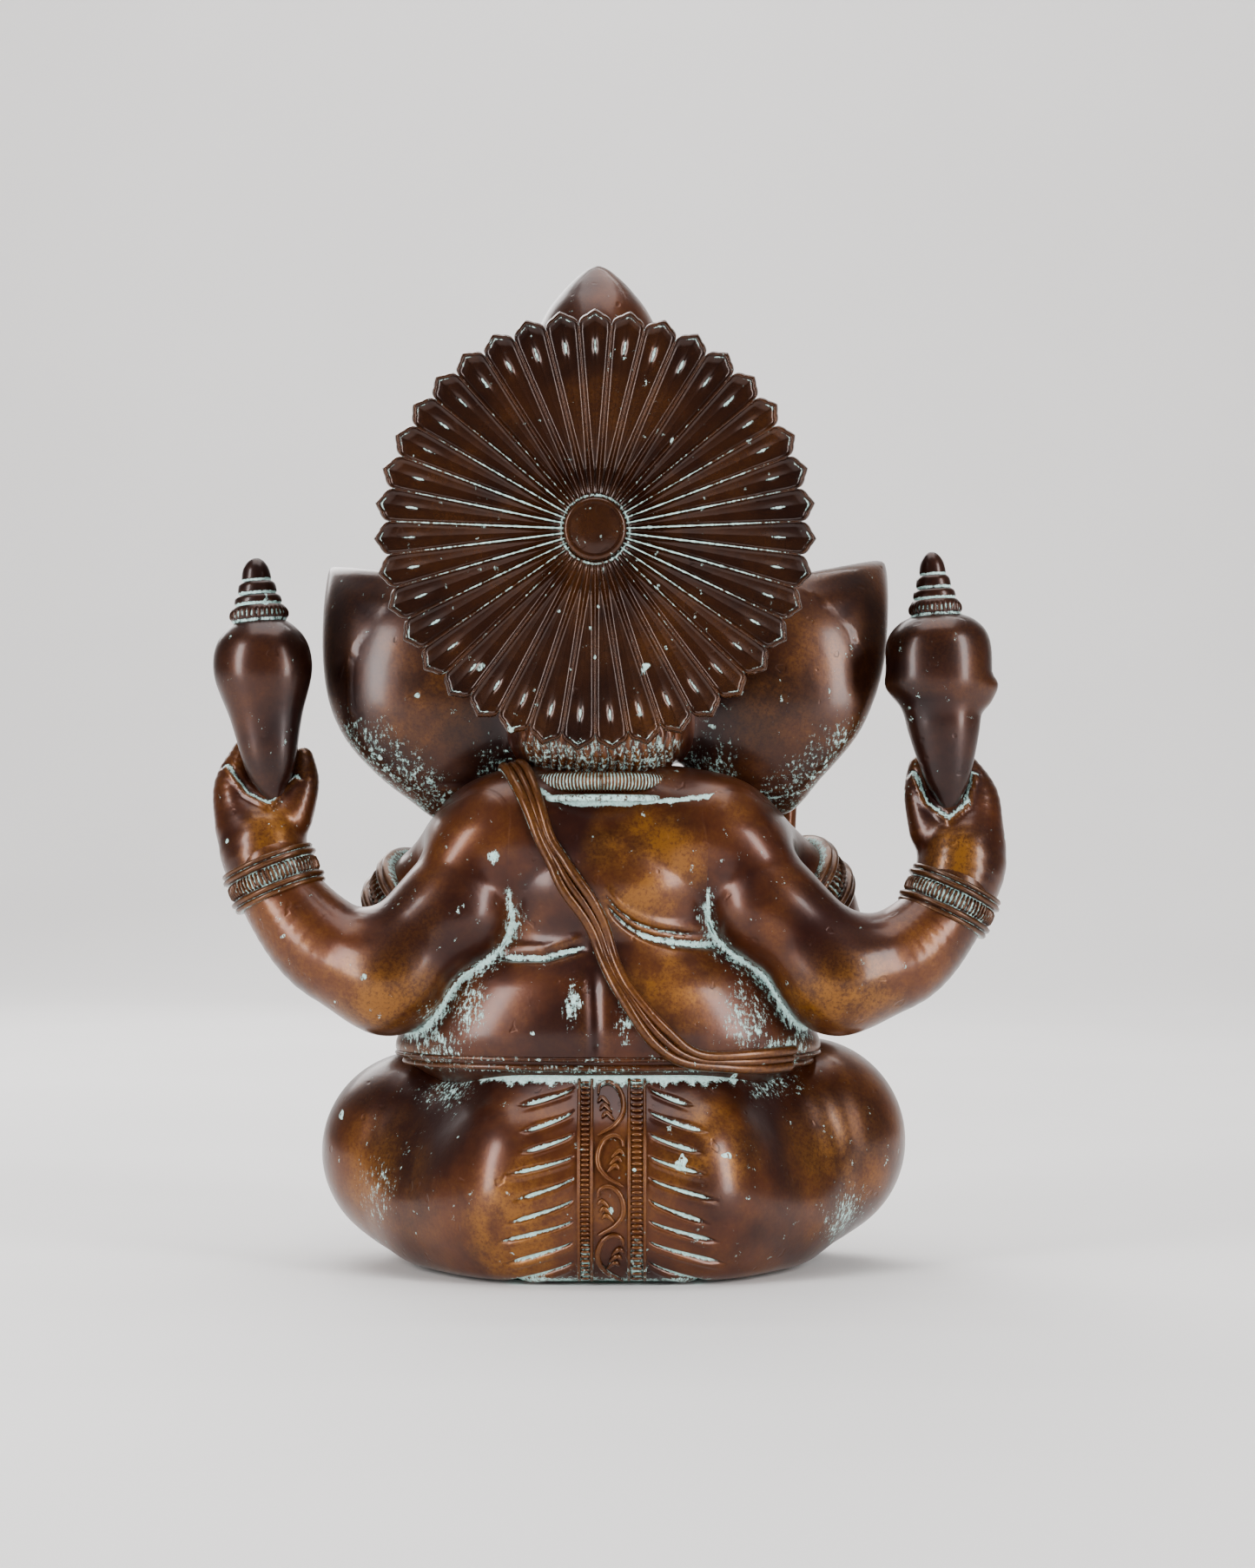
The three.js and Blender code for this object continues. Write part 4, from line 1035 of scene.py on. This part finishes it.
def petal_dimple(share, radius, width, height):
    across = (share - 0.5) * TAU / PETALS * radius
    return stroke(across, width) * stroke(radius - DROP_AT, height)


def halo_rib(share, radius, rim):
    """The thin raised ribs between petals: 1 on a rib."""
    return stroke(from_rib(share, radius), 0.30) * ramp(rim - radius, 0.2, 2.4)


def halo_height(share, radius, rim):
    """Relief of the back: each petal a shallow channel with a raised rim and a drop near its tip."""
    side = from_rib(share, radius)
    half = np.maximum(math.pi / PETALS * radius, 0.1)
    channel = -(0.55 * ramp(side, 0.2, 1.0) + 0.30 * np.clip(side / half, 0, 1) ** 2) * ramp(radius, 8, 16)
    inset = rim - radius
    border = 0.75 * stroke(inset - 0.75, 0.55) * ramp(side, 0, 1.2) + 0.55 * ramp(inset, 3.4, 0.4)
    collar = 0.5 * stroke(radius - 9.0, 0.6)
    dimple = 0.5 * petal_dimple(share, radius, 0.55, 2.6)
    return 0.55 * halo_rib(share, radius, rim) + channel + border - dimple + collar


def halo_patina(share, radius, rim, level):
    """Verdigris on the back: along the ribs, most on those that lie level, where it is partly a painted
    highlight, at the rim, dimples and boss.
    """
    dab = 0.95 * petal_dimple(share, radius, 0.40, 2.2)
    edge = 0.62 * stroke(rim - radius - 1.7, 0.35) * ramp(np.minimum(share, 1 - share), 0.15, 0.3)
    # Ribs that lie level get more pale colour: partly verdigris, partly a painted highlight where the side
    # lights catch them
    ribs = halo_rib(share, radius, rim) * (0.22 + 0.72 * level) * ramp(radius, 58, 30) ** 0.4
    return np.maximum.reduce([ribs, dab, edge, 0.7 * stroke(radius - 9.2, 0.45)])


def make_halo():
    a = turn(PETALS * (22))
    share = (a / TAU * PETALS + 0.5) % 1
    rim = petal_edge(share)
    # How level each rib lies, which sets how much painted highlight it gets besides its verdigris
    level = (1 - np.abs(np.cos(a + 0.06)) ** 2.2) ** 1.5
    rows, patina = [], []
    for t in np.linspace(0, 1, 130):
        radius = HALO_BORE + (rim - HALO_BORE) * t
        y = HALO_BACK - 0.3 + halo_height(share, radius, rim) - 0.9 * ramp(t, 0.985, 1)
        rows.append(on_halo(a, radius, y))
        patina.append(halo_patina(share, radius, rim, level))
    for t in np.linspace(1, 0, 40):
        radius = HALO_BORE + (rim - HALO_BORE) * t
        groove = 0.5 * stroke(from_rib(share, radius), 0.7) * ramp(radius, 12, 20)
        rows.append(on_halo(a, radius, HALO_FRONT + 0.35 + groove + 0.5 * ramp(t, 0.97, 1)))
        patina.append(0.6 * groove)
    marks = {"patina": np.concatenate(patina), "gold": np.full(len(rows) * len(a), 0.12)}
    piece("halo_cast", "halo_disc", loft(rows, closed=True), HALO_METAL, "worn_bronze", relief=4, **marks)
    rows = [on_halo(turn(64), r, HALO_BACK + 0.3 + h) for r, h in dense(BOSS, 0.7)]
    piece("halo_boss", "halo_screw", loft(rows), HALO_METAL, "worn_bronze", relief=3)


# ---------------------------------------------------------------- hands, conches and bangles
RAISED = {
    "left": {
        "palm": [[91.5, 10, 106, 10.4], [95.5, 6.5, 117, 12.2], [95.5, 1.5, 126, 10.8]],
        "outer": [[101.5, 6, 124, 7.5], [103.8, 3, 134, 5.8], [101.5, 0, 144, 3.2]],
        "thumb": [[87.5, 6, 126, 5.8], [84.6, 4, 135, 4.4], [85.0, 2, 142, 3.0]],
        "fingers": (92.5, 125),
        "wrist": (92.2, 10.5, 108.6),
        "way": (0.37, -0.10, 0.92),
        "lip": [(105.8, 139), (100, 131.6), (93.6, 128.4), (86.4, 136)],
        "box": ((76, -16, 96), (114, 26, 152)),
    },
    "right": {
        "palm": [[-94, 10, 101, 10.8], [-98, 6.5, 113, 12.4], [-96.5, 1.5, 123, 11.2]],
        "outer": [[-102, 6, 120, 7.5], [-102.6, 3, 131, 6], [-98.5, 0, 141, 3.4]],
        "thumb": [[-89, 6, 122, 5.6], [-86.4, 4, 132, 4.2], [-86.6, 2, 139.5, 3.0]],
        "fingers": (-92, 122),
        "wrist": (-94.2, 10.5, 102.4),
        "way": (-0.42, -0.10, 0.90),
        "lip": [(-101.6, 137), (-99.6, 129), (-93.8, 124.2), (-87.6, 129), (-84.6, 137)],
        "box": ((-116, -16, 90), (-76, 26, 148)),
    },
}
FINGER_PITCH = 4.6
CONCH = {
    "left": {"at": (92.6, 9.5, 128), "tip": (98, 5, 197.8)},
    "right": {"at": (-94.6, 9.5, 126), "tip": (-89.7, 5, 198.6)},
}
CONCH_PROFILE = {
    "left": [(0.4, 0), (1.6, 1), (3.8, 5), (6.0, 9), (7.6, 14), (8.8, 20), (10.2, 26), (12.0, 31.5),
             (13.3, 36), (13.7, 40), (13.2, 44), (11.8, 47.4), (9.6, 50), (7.4, 51.8)],
    "right": [(0.4, 0), (1.6, 1), (3.8, 5), (5.8, 9), (7.4, 14), (8.8, 19), (10.0, 24), (10.7, 28),
              (11.6, 31), (13.4, 34.5), (14.4, 39), (14.7, 46), (13.5, 50.6), (10.6, 53.8), (7.4, 55.4)],
}
SPIRE = [
    (7.6, 0.6), (8.0, 1.4), (7.8, 3.2), (7.0, 4.4), (6.2, 4.8), (6.6, 5.5), (6.3, 6.9), (5.5, 7.5),
    (5.0, 7.9), (5.4, 8.5), (5.1, 10.4), (4.4, 11.2), (3.9, 11.6), (4.1, 12.2), (3.9, 13.8), (3.4, 15.4),
    (2.4, 16.9), (1.2, 17.8), (0.3, 18),
]
SPIRE_SLIM = {"left": 1.0, "right": 0.9}
SPIRE_GROOVES = (0.3, 4.9, 8.0, 11.7)
RIBBED_RING, RIBS = 2.2, 34
CONCH_DEPTH = 0.84


def raised_hand(side):
    """Palm and back of the hand, with fingers and thumb wrapped round the front of a conch."""
    facts = RAISED[side]
    x, z = facts["fingers"]
    s = math.copysign(1, x)
    fingers = []
    for i in range(4):
        up = z + i * FINGER_PITCH
        knuckles = [[x + s * 10.5, -1, up, 3.1], [x + s * 5.5, -8.6, up, 2.8], [x - s * 2.5, -8.2, up, 2.4]]
        fingers.append(limb(*knuckles))
    hand = blend(2.5, *[limb(*facts[key]) for key in ("palm", "outer", "thumb")])
    return blend(1.2, hand, blend(0.8, *fingers))


def make_conch(side):
    """A conch with a stepped spire and its mouth to the front; the right one's lips flare to flaps."""
    s = math.copysign(1, CONCH[side]["at"][0])
    top = CONCH_PROFILE[side][-1][1]
    spire = [(r * SPIRE_SLIM[side], top + h) for r, h in SPIRE]
    a = turn(136)
    rows, patina = [], []
    for r, h in smooth_profile(CONCH_PROFILE[side], 4) + smooth_profile(spire, 3):
        fullness = min(1, r / 5) * (h < top)
        mouth = facing(a, -math.pi / 2 + 0.3 * s, 0.42) * math.exp(-(((h - 24) / 13) ** 4))
        lip = facing(a, -math.pi / 2 + 1.0 * s, 0.25) * math.exp(-(((h - 27) / 13) ** 4))
        flaps = 0
        if side == "right":
            flaps = 1.3 * facing(a, 0, 0.6) * math.exp(-(((h - 37) / 3.6) ** 2))
            flaps = flaps + 2.4 * facing(a, math.pi, 0.5) * math.exp(-(((h - 33) / 4.4) ** 4))
        ribbed = math.exp(-(((h - top - RIBBED_RING) / 1.1) ** 4))
        wave = np.cos(a * RIBS)
        radius = np.maximum(r + (1.2 * lip - 3.2 * mouth + flaps) * fullness + 0.3 * ribbed * wave, 0.25)
        rows.append(circle(a, radius, h) * np.array([1, CONCH_DEPTH, 1]))
        groove = max(stroke(h - top - at, 0.5) for at in SPIRE_GROOVES)
        patina.append(np.maximum(0.9 * groove, 0.7 * ribbed * (0.5 - 0.5 * wave)))
    points, tris = loft(rows)
    at, tip = (np.array(CONCH[side][key]) for key in ("at", "tip"))
    node = "conch_" + side
    mesh = (turn_to(points, at, tip - at), tris)
    piece(node + "_cast", node, mesh, DEEP, relief=5, patina=np.concatenate([*patina, [0, 0]]))


HALF_CUFF = [(0, -1), (0.5, -1), (0.82, -0.97), (0.9, -0.88), (0.82, -0.78), (0.6, -0.74), (0.85, -0.70),
             (1.0, -0.62), (1.0, -0.52), (0.8, -0.44), (0.5, -0.40), (0.72, -0.34), (0.86, -0.24), (0.9, 0)]
CUFF = HALF_CUFF + [(r, -h) for r, h in HALF_CUFF[-2::-1]]


def make_bangle(node, at, way, inner, outer, height, ribs):
    """A cuff: a ribbed band between two pairs of plain rims."""
    a = turn(ribs * 6)
    wave = 0.5 - 0.5 * np.cos(a * ribs)
    rim = outer - inner
    rows, patina = [], []
    for r, h in CUFF:
        band = abs(h) < 0.38
        rows.append(circle(a, inner + rim * r - (0.22 * rim * wave if band else 0), h * height / 2))
        patina.append(0.66 * wave if band else np.full(len(a), 0.62 if r < 0.65 else 0.1))
    points, tris = loft(rows, closed=True)
    mesh = (turn_to(points, at, way), tris)
    piece(node + "_ring", node, mesh, WORN, "worn_bronze", relief=3, patina=np.concatenate(patina))


def palm_lip(p, side):
    """How far above the edge of the hollow, at the back of the hand, that takes the shell's tail."""
    corners = np.array(RAISED[side]["lip"])
    best = np.full(len(p), FAR)
    q = p[:, [0, 2]]
    for a, b in zip(corners, corners[1:]):
        t = np.clip(((q - a) @ (b - a)) / ((b - a) @ (b - a)), 0, 1)
        w = q - a - t[:, None] * (b - a)
        gap = length(w) * np.where(w[:, 1] < 0, -1, 1)
        best = np.where(np.abs(gap) < np.abs(best), gap, best)
    return np.where(p[:, 1] > 3, best, FAR)


def make_rear_hands():
    for side in SIDES:
        facts = RAISED[side]
        wrist, way = np.array(facts["wrist"]), np.array(facts["way"])
        points, tris = mesh_of(raised_hand(side), *facts["box"], 0.9)
        points, tris = split(points, tris, wrist @ way - points @ way)[0]
        conch = np.array(CONCH[side]["at"])
        notch = 0.8 * patch(points, conch + np.array([0, 4, 4]), (9, 9, 8))
        # Painted highlight, with some rubbed metal, on the back of the hand under the conch
        gold = patch(points, conch + np.array([0, 8, -10]), (10, 14, 15))
        lip = palm_lip(points, side)
        points = displaced(points, tris, 0.8 * stroke(lip, 0.7) - 0.5 * stroke(lip - 1.3, 0.6))
        marks = {"patina": np.maximum(notch * 0.55, 0.85 * stroke(lip - 0.9, 0.8)), "gold": gold}
        node = "rear_hand_" + side
        piece(node + "_cast", node, (points, tris), DARK, relief=6, **marks)
        make_bangle("rear_bangle_" + side, wrist, way, 10.2, 13.6, 11.4, 64)


def blessing_hand():
    """The right front hand, palm forward, its fingers up."""
    x = -45
    palm = blend(
        1.2,
        limb([-52, -48, 93, 8], [x - 2, -58, 104, 8], [x, -61, 114, 8.4]),
        ellipsoid((x, -61, 114), (10.2, 5.4, 11.5)),
        limb([x + 7, -59, 111, 3.4], [x + 11.5, -61, 118, 3], [x + 12.5, -61.5, 125, 2.4]),
    )
    fingers = [
        limb([x + out, -61, 118, 3], [x + out * 1.12, -61.5, 130, 2.8], [x + out * 1.12, -60, top, 2.3])
        for out, top in ((-6.8, 138), (-2.3, 142.5), (2.2, 142), (6.6, 136))
    ]
    return blend(1.0, palm, blend(0.5, *fingers))


def giving_hand():
    """The left front hand, palm up under the bowl."""
    palm = limb([54, -50, 77.5, 8], [50, -61, 78.5, 8], [47.5, -69, 79, 7.6], flat=0.75)
    digits = [
        limb([47 + out, -68, 79, 3], [47 + out, -77, 79.6, 2.8], [47 + out, -70 - reach, 84, 2.3])
        for out, reach in ((-7, 11), (-2.4, 13), (2.2, 12.4), (6.6, 10))
    ]
    digits.append(limb([57, -62, 80, 3.2], [60.2, -69, 83, 2.8], [59.6, -74, 88, 2.4]))
    return blend(1.0, palm, blend(0.5, *digits))


ARMLET_UP = {"left": 0.08, "right": 0.20}  # share of the way from the arm's second station to its first


def make_front_hands():
    blessing = mesh_of(blessing_hand(), (-72, -74, 84), (-32, -38, 148), 0.85)
    piece("front_hand_right_cast", "front_hand_right", blessing, DARK, relief=5)
    giving = mesh_of(giving_hand(), (34, -90, 66), (68, -40, 96), 0.85)
    piece("front_hand_left_cast", "front_hand_left", giving, DARK, relief=5)
    for side in SIDES:
        arm = np.array(FRONT[side])
        places = arm[:, :3]
        at = places[-1] * 0.62 + places[-2] * 0.38
        make_bangle("front_bangle_" + side, at, places[-1] - places[-2], 9.6, 12.4, 6.8, 48)
        up = ARMLET_UP[side]
        at = places[1] * (1 - up) + places[0] * up
        outer = arm[1, 3] + 3.6
        make_bangle("armlet_" + side, at, places[2] - places[0], outer - 5, outer, 14, 52)


BOWL_AT = np.array([47, -70, 87])
BOWL_PROFILE = [(0.4, -5.5), (4.2, -5.5), (4.6, -4.8), (6.8, -3.4), (8.6, -1.4), (9.6, 1.4), (10, 3.6),
                (10.1, 4.8), (9.2, 5.1), (8.5, 4.2), (8.1, 1.4), (6.6, -1.4), (3.4, -3.0), (0.4, -3.4)]
SWEETS = np.array([(-3.1, 1.8, 0), (3.1, 1.8, 0), (0, -3.4, 0), (0, 0, 4.8)])


def make_bowl():
    rows = [circle(turn(72), r, h, BOWL_AT) for r, h in dense(BOWL_PROFILE, 0.6)]
    piece("sweet_bowl_cast", "sweet_bowl", loft(rows), WORN, "worn_bronze", relief=3)
    a = turn(60)
    rows = []
    for t in np.linspace(0, 1, 22):
        r = 3.9 * math.sin(math.pi * (0.04 + 0.95 * t)) ** 0.8 * (1 - 0.35 * t)
        pleats = 1 + 0.07 * np.abs(np.sin(a * 6)) * math.sin(math.pi * t)
        rows.append(circle(a, r * pleats, 8.0 * t, BOWL_AT))
    parts = [loft(np.array(rows) + place) for place in SWEETS]
    piece("sweets_cast", "sweets", merged(parts), WORN, "worn_bronze", relief=3)


# ---------------------------------------------------------------- ornaments laid on the castings
THREAD = {
    "back": [[27, 4, 138], [23, 20, 134], [17, 30, 120], [11.5, 34, 109], [4, 38, 96.4], [-5.6, 40, 79.7],
             [-14.8, 39, 66], [-24, 36, 59.6], [-36, 30, 58.6], [-50, 18, 60]],
    "front": [[25, -8, 136], [27, -24, 122], [18, -33, 108], [6, -50, 92], [-20, -55, 78], [-44, -44, 67],
              [-56, -24, 63]],
}
STRANDS = ((-2.1, 1.35), (-0.1, 1.1), (1.9, 1.45))  # place across the thread, and radius


def laid_on(shape, path, lift, most):
    """A path pressed onto a shape and lifted off it, with the surface's normals."""
    path = settle(shape, path, 6, most)
    g = gradient(shape, path, shape(path))
    up = g / length(g)[:, None]
    return path + up * lift, up


def make_thread():
    """Three cords side by side over the left shoulder and across the back; the same in front."""
    for face, stations in THREAD.items():
        path, up = laid_on(body, route(stations, 16), 0.55, 3.0)
        way = np.gradient(path, axis=0)
        way /= length(way)[:, None]
        across = np.cross(way, up)
        wander = 1 + 0.25 * np.sin(np.linspace(0, 21, len(path)))[:, None]
        strands = [tube(path + across * shift * wander, radius, 10, up=up) for shift, radius in STRANDS]
        points, tris = merged(strands)
        marks = {"patina": 0.72 * ramp(np.abs(body(points)), 0.9, 0.2), "gold": np.full(len(points), 0.15)}
        node = "sacred_thread_" + face
        piece(node + "_cords", node, (points, tris), DARK, "worn_bronze", relief=3, **marks)


def make_waist_band():
    """Two cords round the waist, where the back meets the seat."""
    a = np.linspace(-0.45, math.pi + 0.45, 120)
    out = circle(a, 1, 0)
    parts = []
    for z, radius in ((WAIST_Z + 1.0, 0.9), (WAIST_Z + 3.3, 0.6)):
        path = np.array([0, 4, z]) + 30 * out
        for _ in range(24):
            path -= out * TORSO(path)[:, None]
        parts.append(tube(path + out * 0.25, radius, 10, up=out))
    points, tris = merged(parts)
    patina = 0.38 * ramp(points[:, 1], 4, 12)
    piece("waist_band_cord", "waist_band", (points, tris), DARK, "worn_bronze", relief=3, patina=patina)


COLLAR = [[2, 25.5, 135.5], [18, 17, 135], [26.5, -4, 133], [19, -25, 128], [2, -34, 123], [-15, -25, 128],
          [-22.5, -4, 133], [-14, 17, 135]]
COLLAR_SIDES = 12


def on_chest(path, lift):
    """Draws the front of a ring round the neck down onto the chest."""
    pressed = laid_on(body, path, lift, 4.0)[0]
    return path + ramp(-path[:, 1], -6, 12)[:, None] * (pressed - path)


def make_collar():
    """A ribbed band round the neck with a plain cord under it, heavier in front, with a pendant."""
    path = route(COLLAR, 96, closed=True)
    ribs = 0.22 * np.cos(np.arange(len(path)) * TAU / 5)
    spread = (path - path.mean(0)) * np.array([0.16, 0.12, 0])
    lower = on_chest(path + np.array([0, 0, -4.6]) + spread, 0.5)
    pendant = on_chest(np.array([[2.0, -34.0, 112.5]]), 1.0)[0]
    upwards = np.array([[0, 0, 1.0]])
    points, tris = merged([
        tube(on_chest(path, 1.5), 1.9 + ribs, COLLAR_SIDES, closed=True, tall=1.35, up=upwards),
        tube(lower, 1.0, 8, closed=True),
        bead(pendant, (4.4, 2.0, 5.4), 18),
        bead(pendant + np.array([0, -1.4, 0]), (2.0, 1.8, 2.6), 14),
    ])
    patina = np.full(len(points), 0.66)
    patina[: len(path) * COLLAR_SIDES] = 0.80 * np.repeat(ramp(ribs, 0.1, -0.15), COLLAR_SIDES)
    patina *= ramp(points[:, 1], -6, 8)
    piece("collar_rope", "collar", (points, tris), WORN, "worn_bronze", relief=3, patina=patina)


def make_anklets():
    make_bangle("anklet_left", (5, -51, 19.6), (-0.97, 0.16, 0.02), 10.2, 12.8, 5, 50)
    make_bangle("anklet_right", (-8, -56, 13.8), (0.97, 0.2, 0.06), 10.2, 12.8, 5, 50)


# ---------------------------------------------------------------- the parts that stay as the CAD made them
DRESS = {"base_plate": BRASS, "halo_nut": BRASS, "halo_spacer": DARK, "felt_pad": FELT}
DRESS.update({"base_screw_" + str(i): BRASS for i in range(1, 5)})


def dress_hardware():
    for node, material in DRESS.items():
        for one in bpy.data.objects[node].material_slots:
            one.material = material


# ---------------------------------------------------------------- camera, light and floor
MIDDLE = (0, 0, 0.14)


def make_camera():
    data = bpy.data.cameras.new("camera")
    data.sensor_fit = "VERTICAL"
    data.sensor_height = 36
    data.lens = 86.5
    camera = bpy.data.objects.new("camera", data)
    camera.location = (-0.0054, 1.051, 0.1347)
    camera.rotation_euler = (math.radians(90), 0, math.radians(180))
    bpy.context.scene.collection.objects.link(camera)
    bpy.context.scene.camera = camera


def make_light(name, place, target, size, watts):
    data = bpy.data.lights.new(name, "AREA")
    data.shape = "RECTANGLE"
    data.size, data.size_y = size
    data.energy = watts
    light = bpy.data.objects.new(name, data)
    light.location = place
    light.rotation_euler = (Vector(target) - light.location).to_track_quat("-Z", "Y").to_euler()
    bpy.context.scene.collection.objects.link(light)


def make_stage():
    """A pale floor that sweeps up to a wall on the side away from the camera, and soft boxes."""
    bend = np.linspace(0, math.pi / 2, 13)
    curve = [(-1.3 - 0.6 * math.sin(t), 0.6 - 0.6 * math.cos(t)) for t in bend]
    profile = [(3.0, 0.0), *curve, (-1.9, 3.0)]
    corners = [(x, y, z) for y, z in profile for x in (-3.2, 3.2)]
    faces = [(2 * i, 2 * i + 1, 2 * i + 3, 2 * i + 2) for i in range(len(profile) - 1)]
    data = bpy.data.meshes.new("floor")
    data.from_pydata(corners, [], faces)
    data.polygons.foreach_set("use_smooth", [True] * len(faces))
    floor = bpy.data.objects.new("floor", data)
    data.materials.append(simple("pale_floor", (0.84, 0.82, 0.81), (0.88, 0.86, 0.85), 4, 0.75, 0, 0.05))
    bpy.context.scene.collection.objects.link(floor)
    world = bpy.data.worlds.new("studio")
    world.use_nodes = True
    background = world.node_tree.nodes["Background"]
    background.inputs["Color"].default_value = (0.90, 0.88, 0.87, 1)
    background.inputs["Strength"].default_value = 0.20
    bpy.context.scene.world = world
    make_light("left_window", (0.80, 0.66, 0.40), MIDDLE, (0.22, 0.8), 12)
    make_light("right_window", (-0.80, 0.66, 0.38), MIDDLE, (0.22, 0.8), 12)
    make_light("front_window", (0.45, -1.0, 0.8), MIDDLE, (0.7, 0.7), 9)
    make_light("overhead", (0, 0.0, 1.5), MIDDLE, (1.2, 1.2), 20)
    make_light("wall_wash", (0, -0.9, 1.7), (0, -1.9, 0.4), (1.8, 0.3), 26)


make_camera()
make_stage()
make_torso()
make_seat()
make_panel()
make_head()
make_tusks()
make_crown()
make_halo()
make_rear_hands()
make_conch("left")
make_conch("right")
make_front_hands()
make_bowl()
make_thread()
make_waist_band()
make_collar()
make_anklets()
dress_hardware()
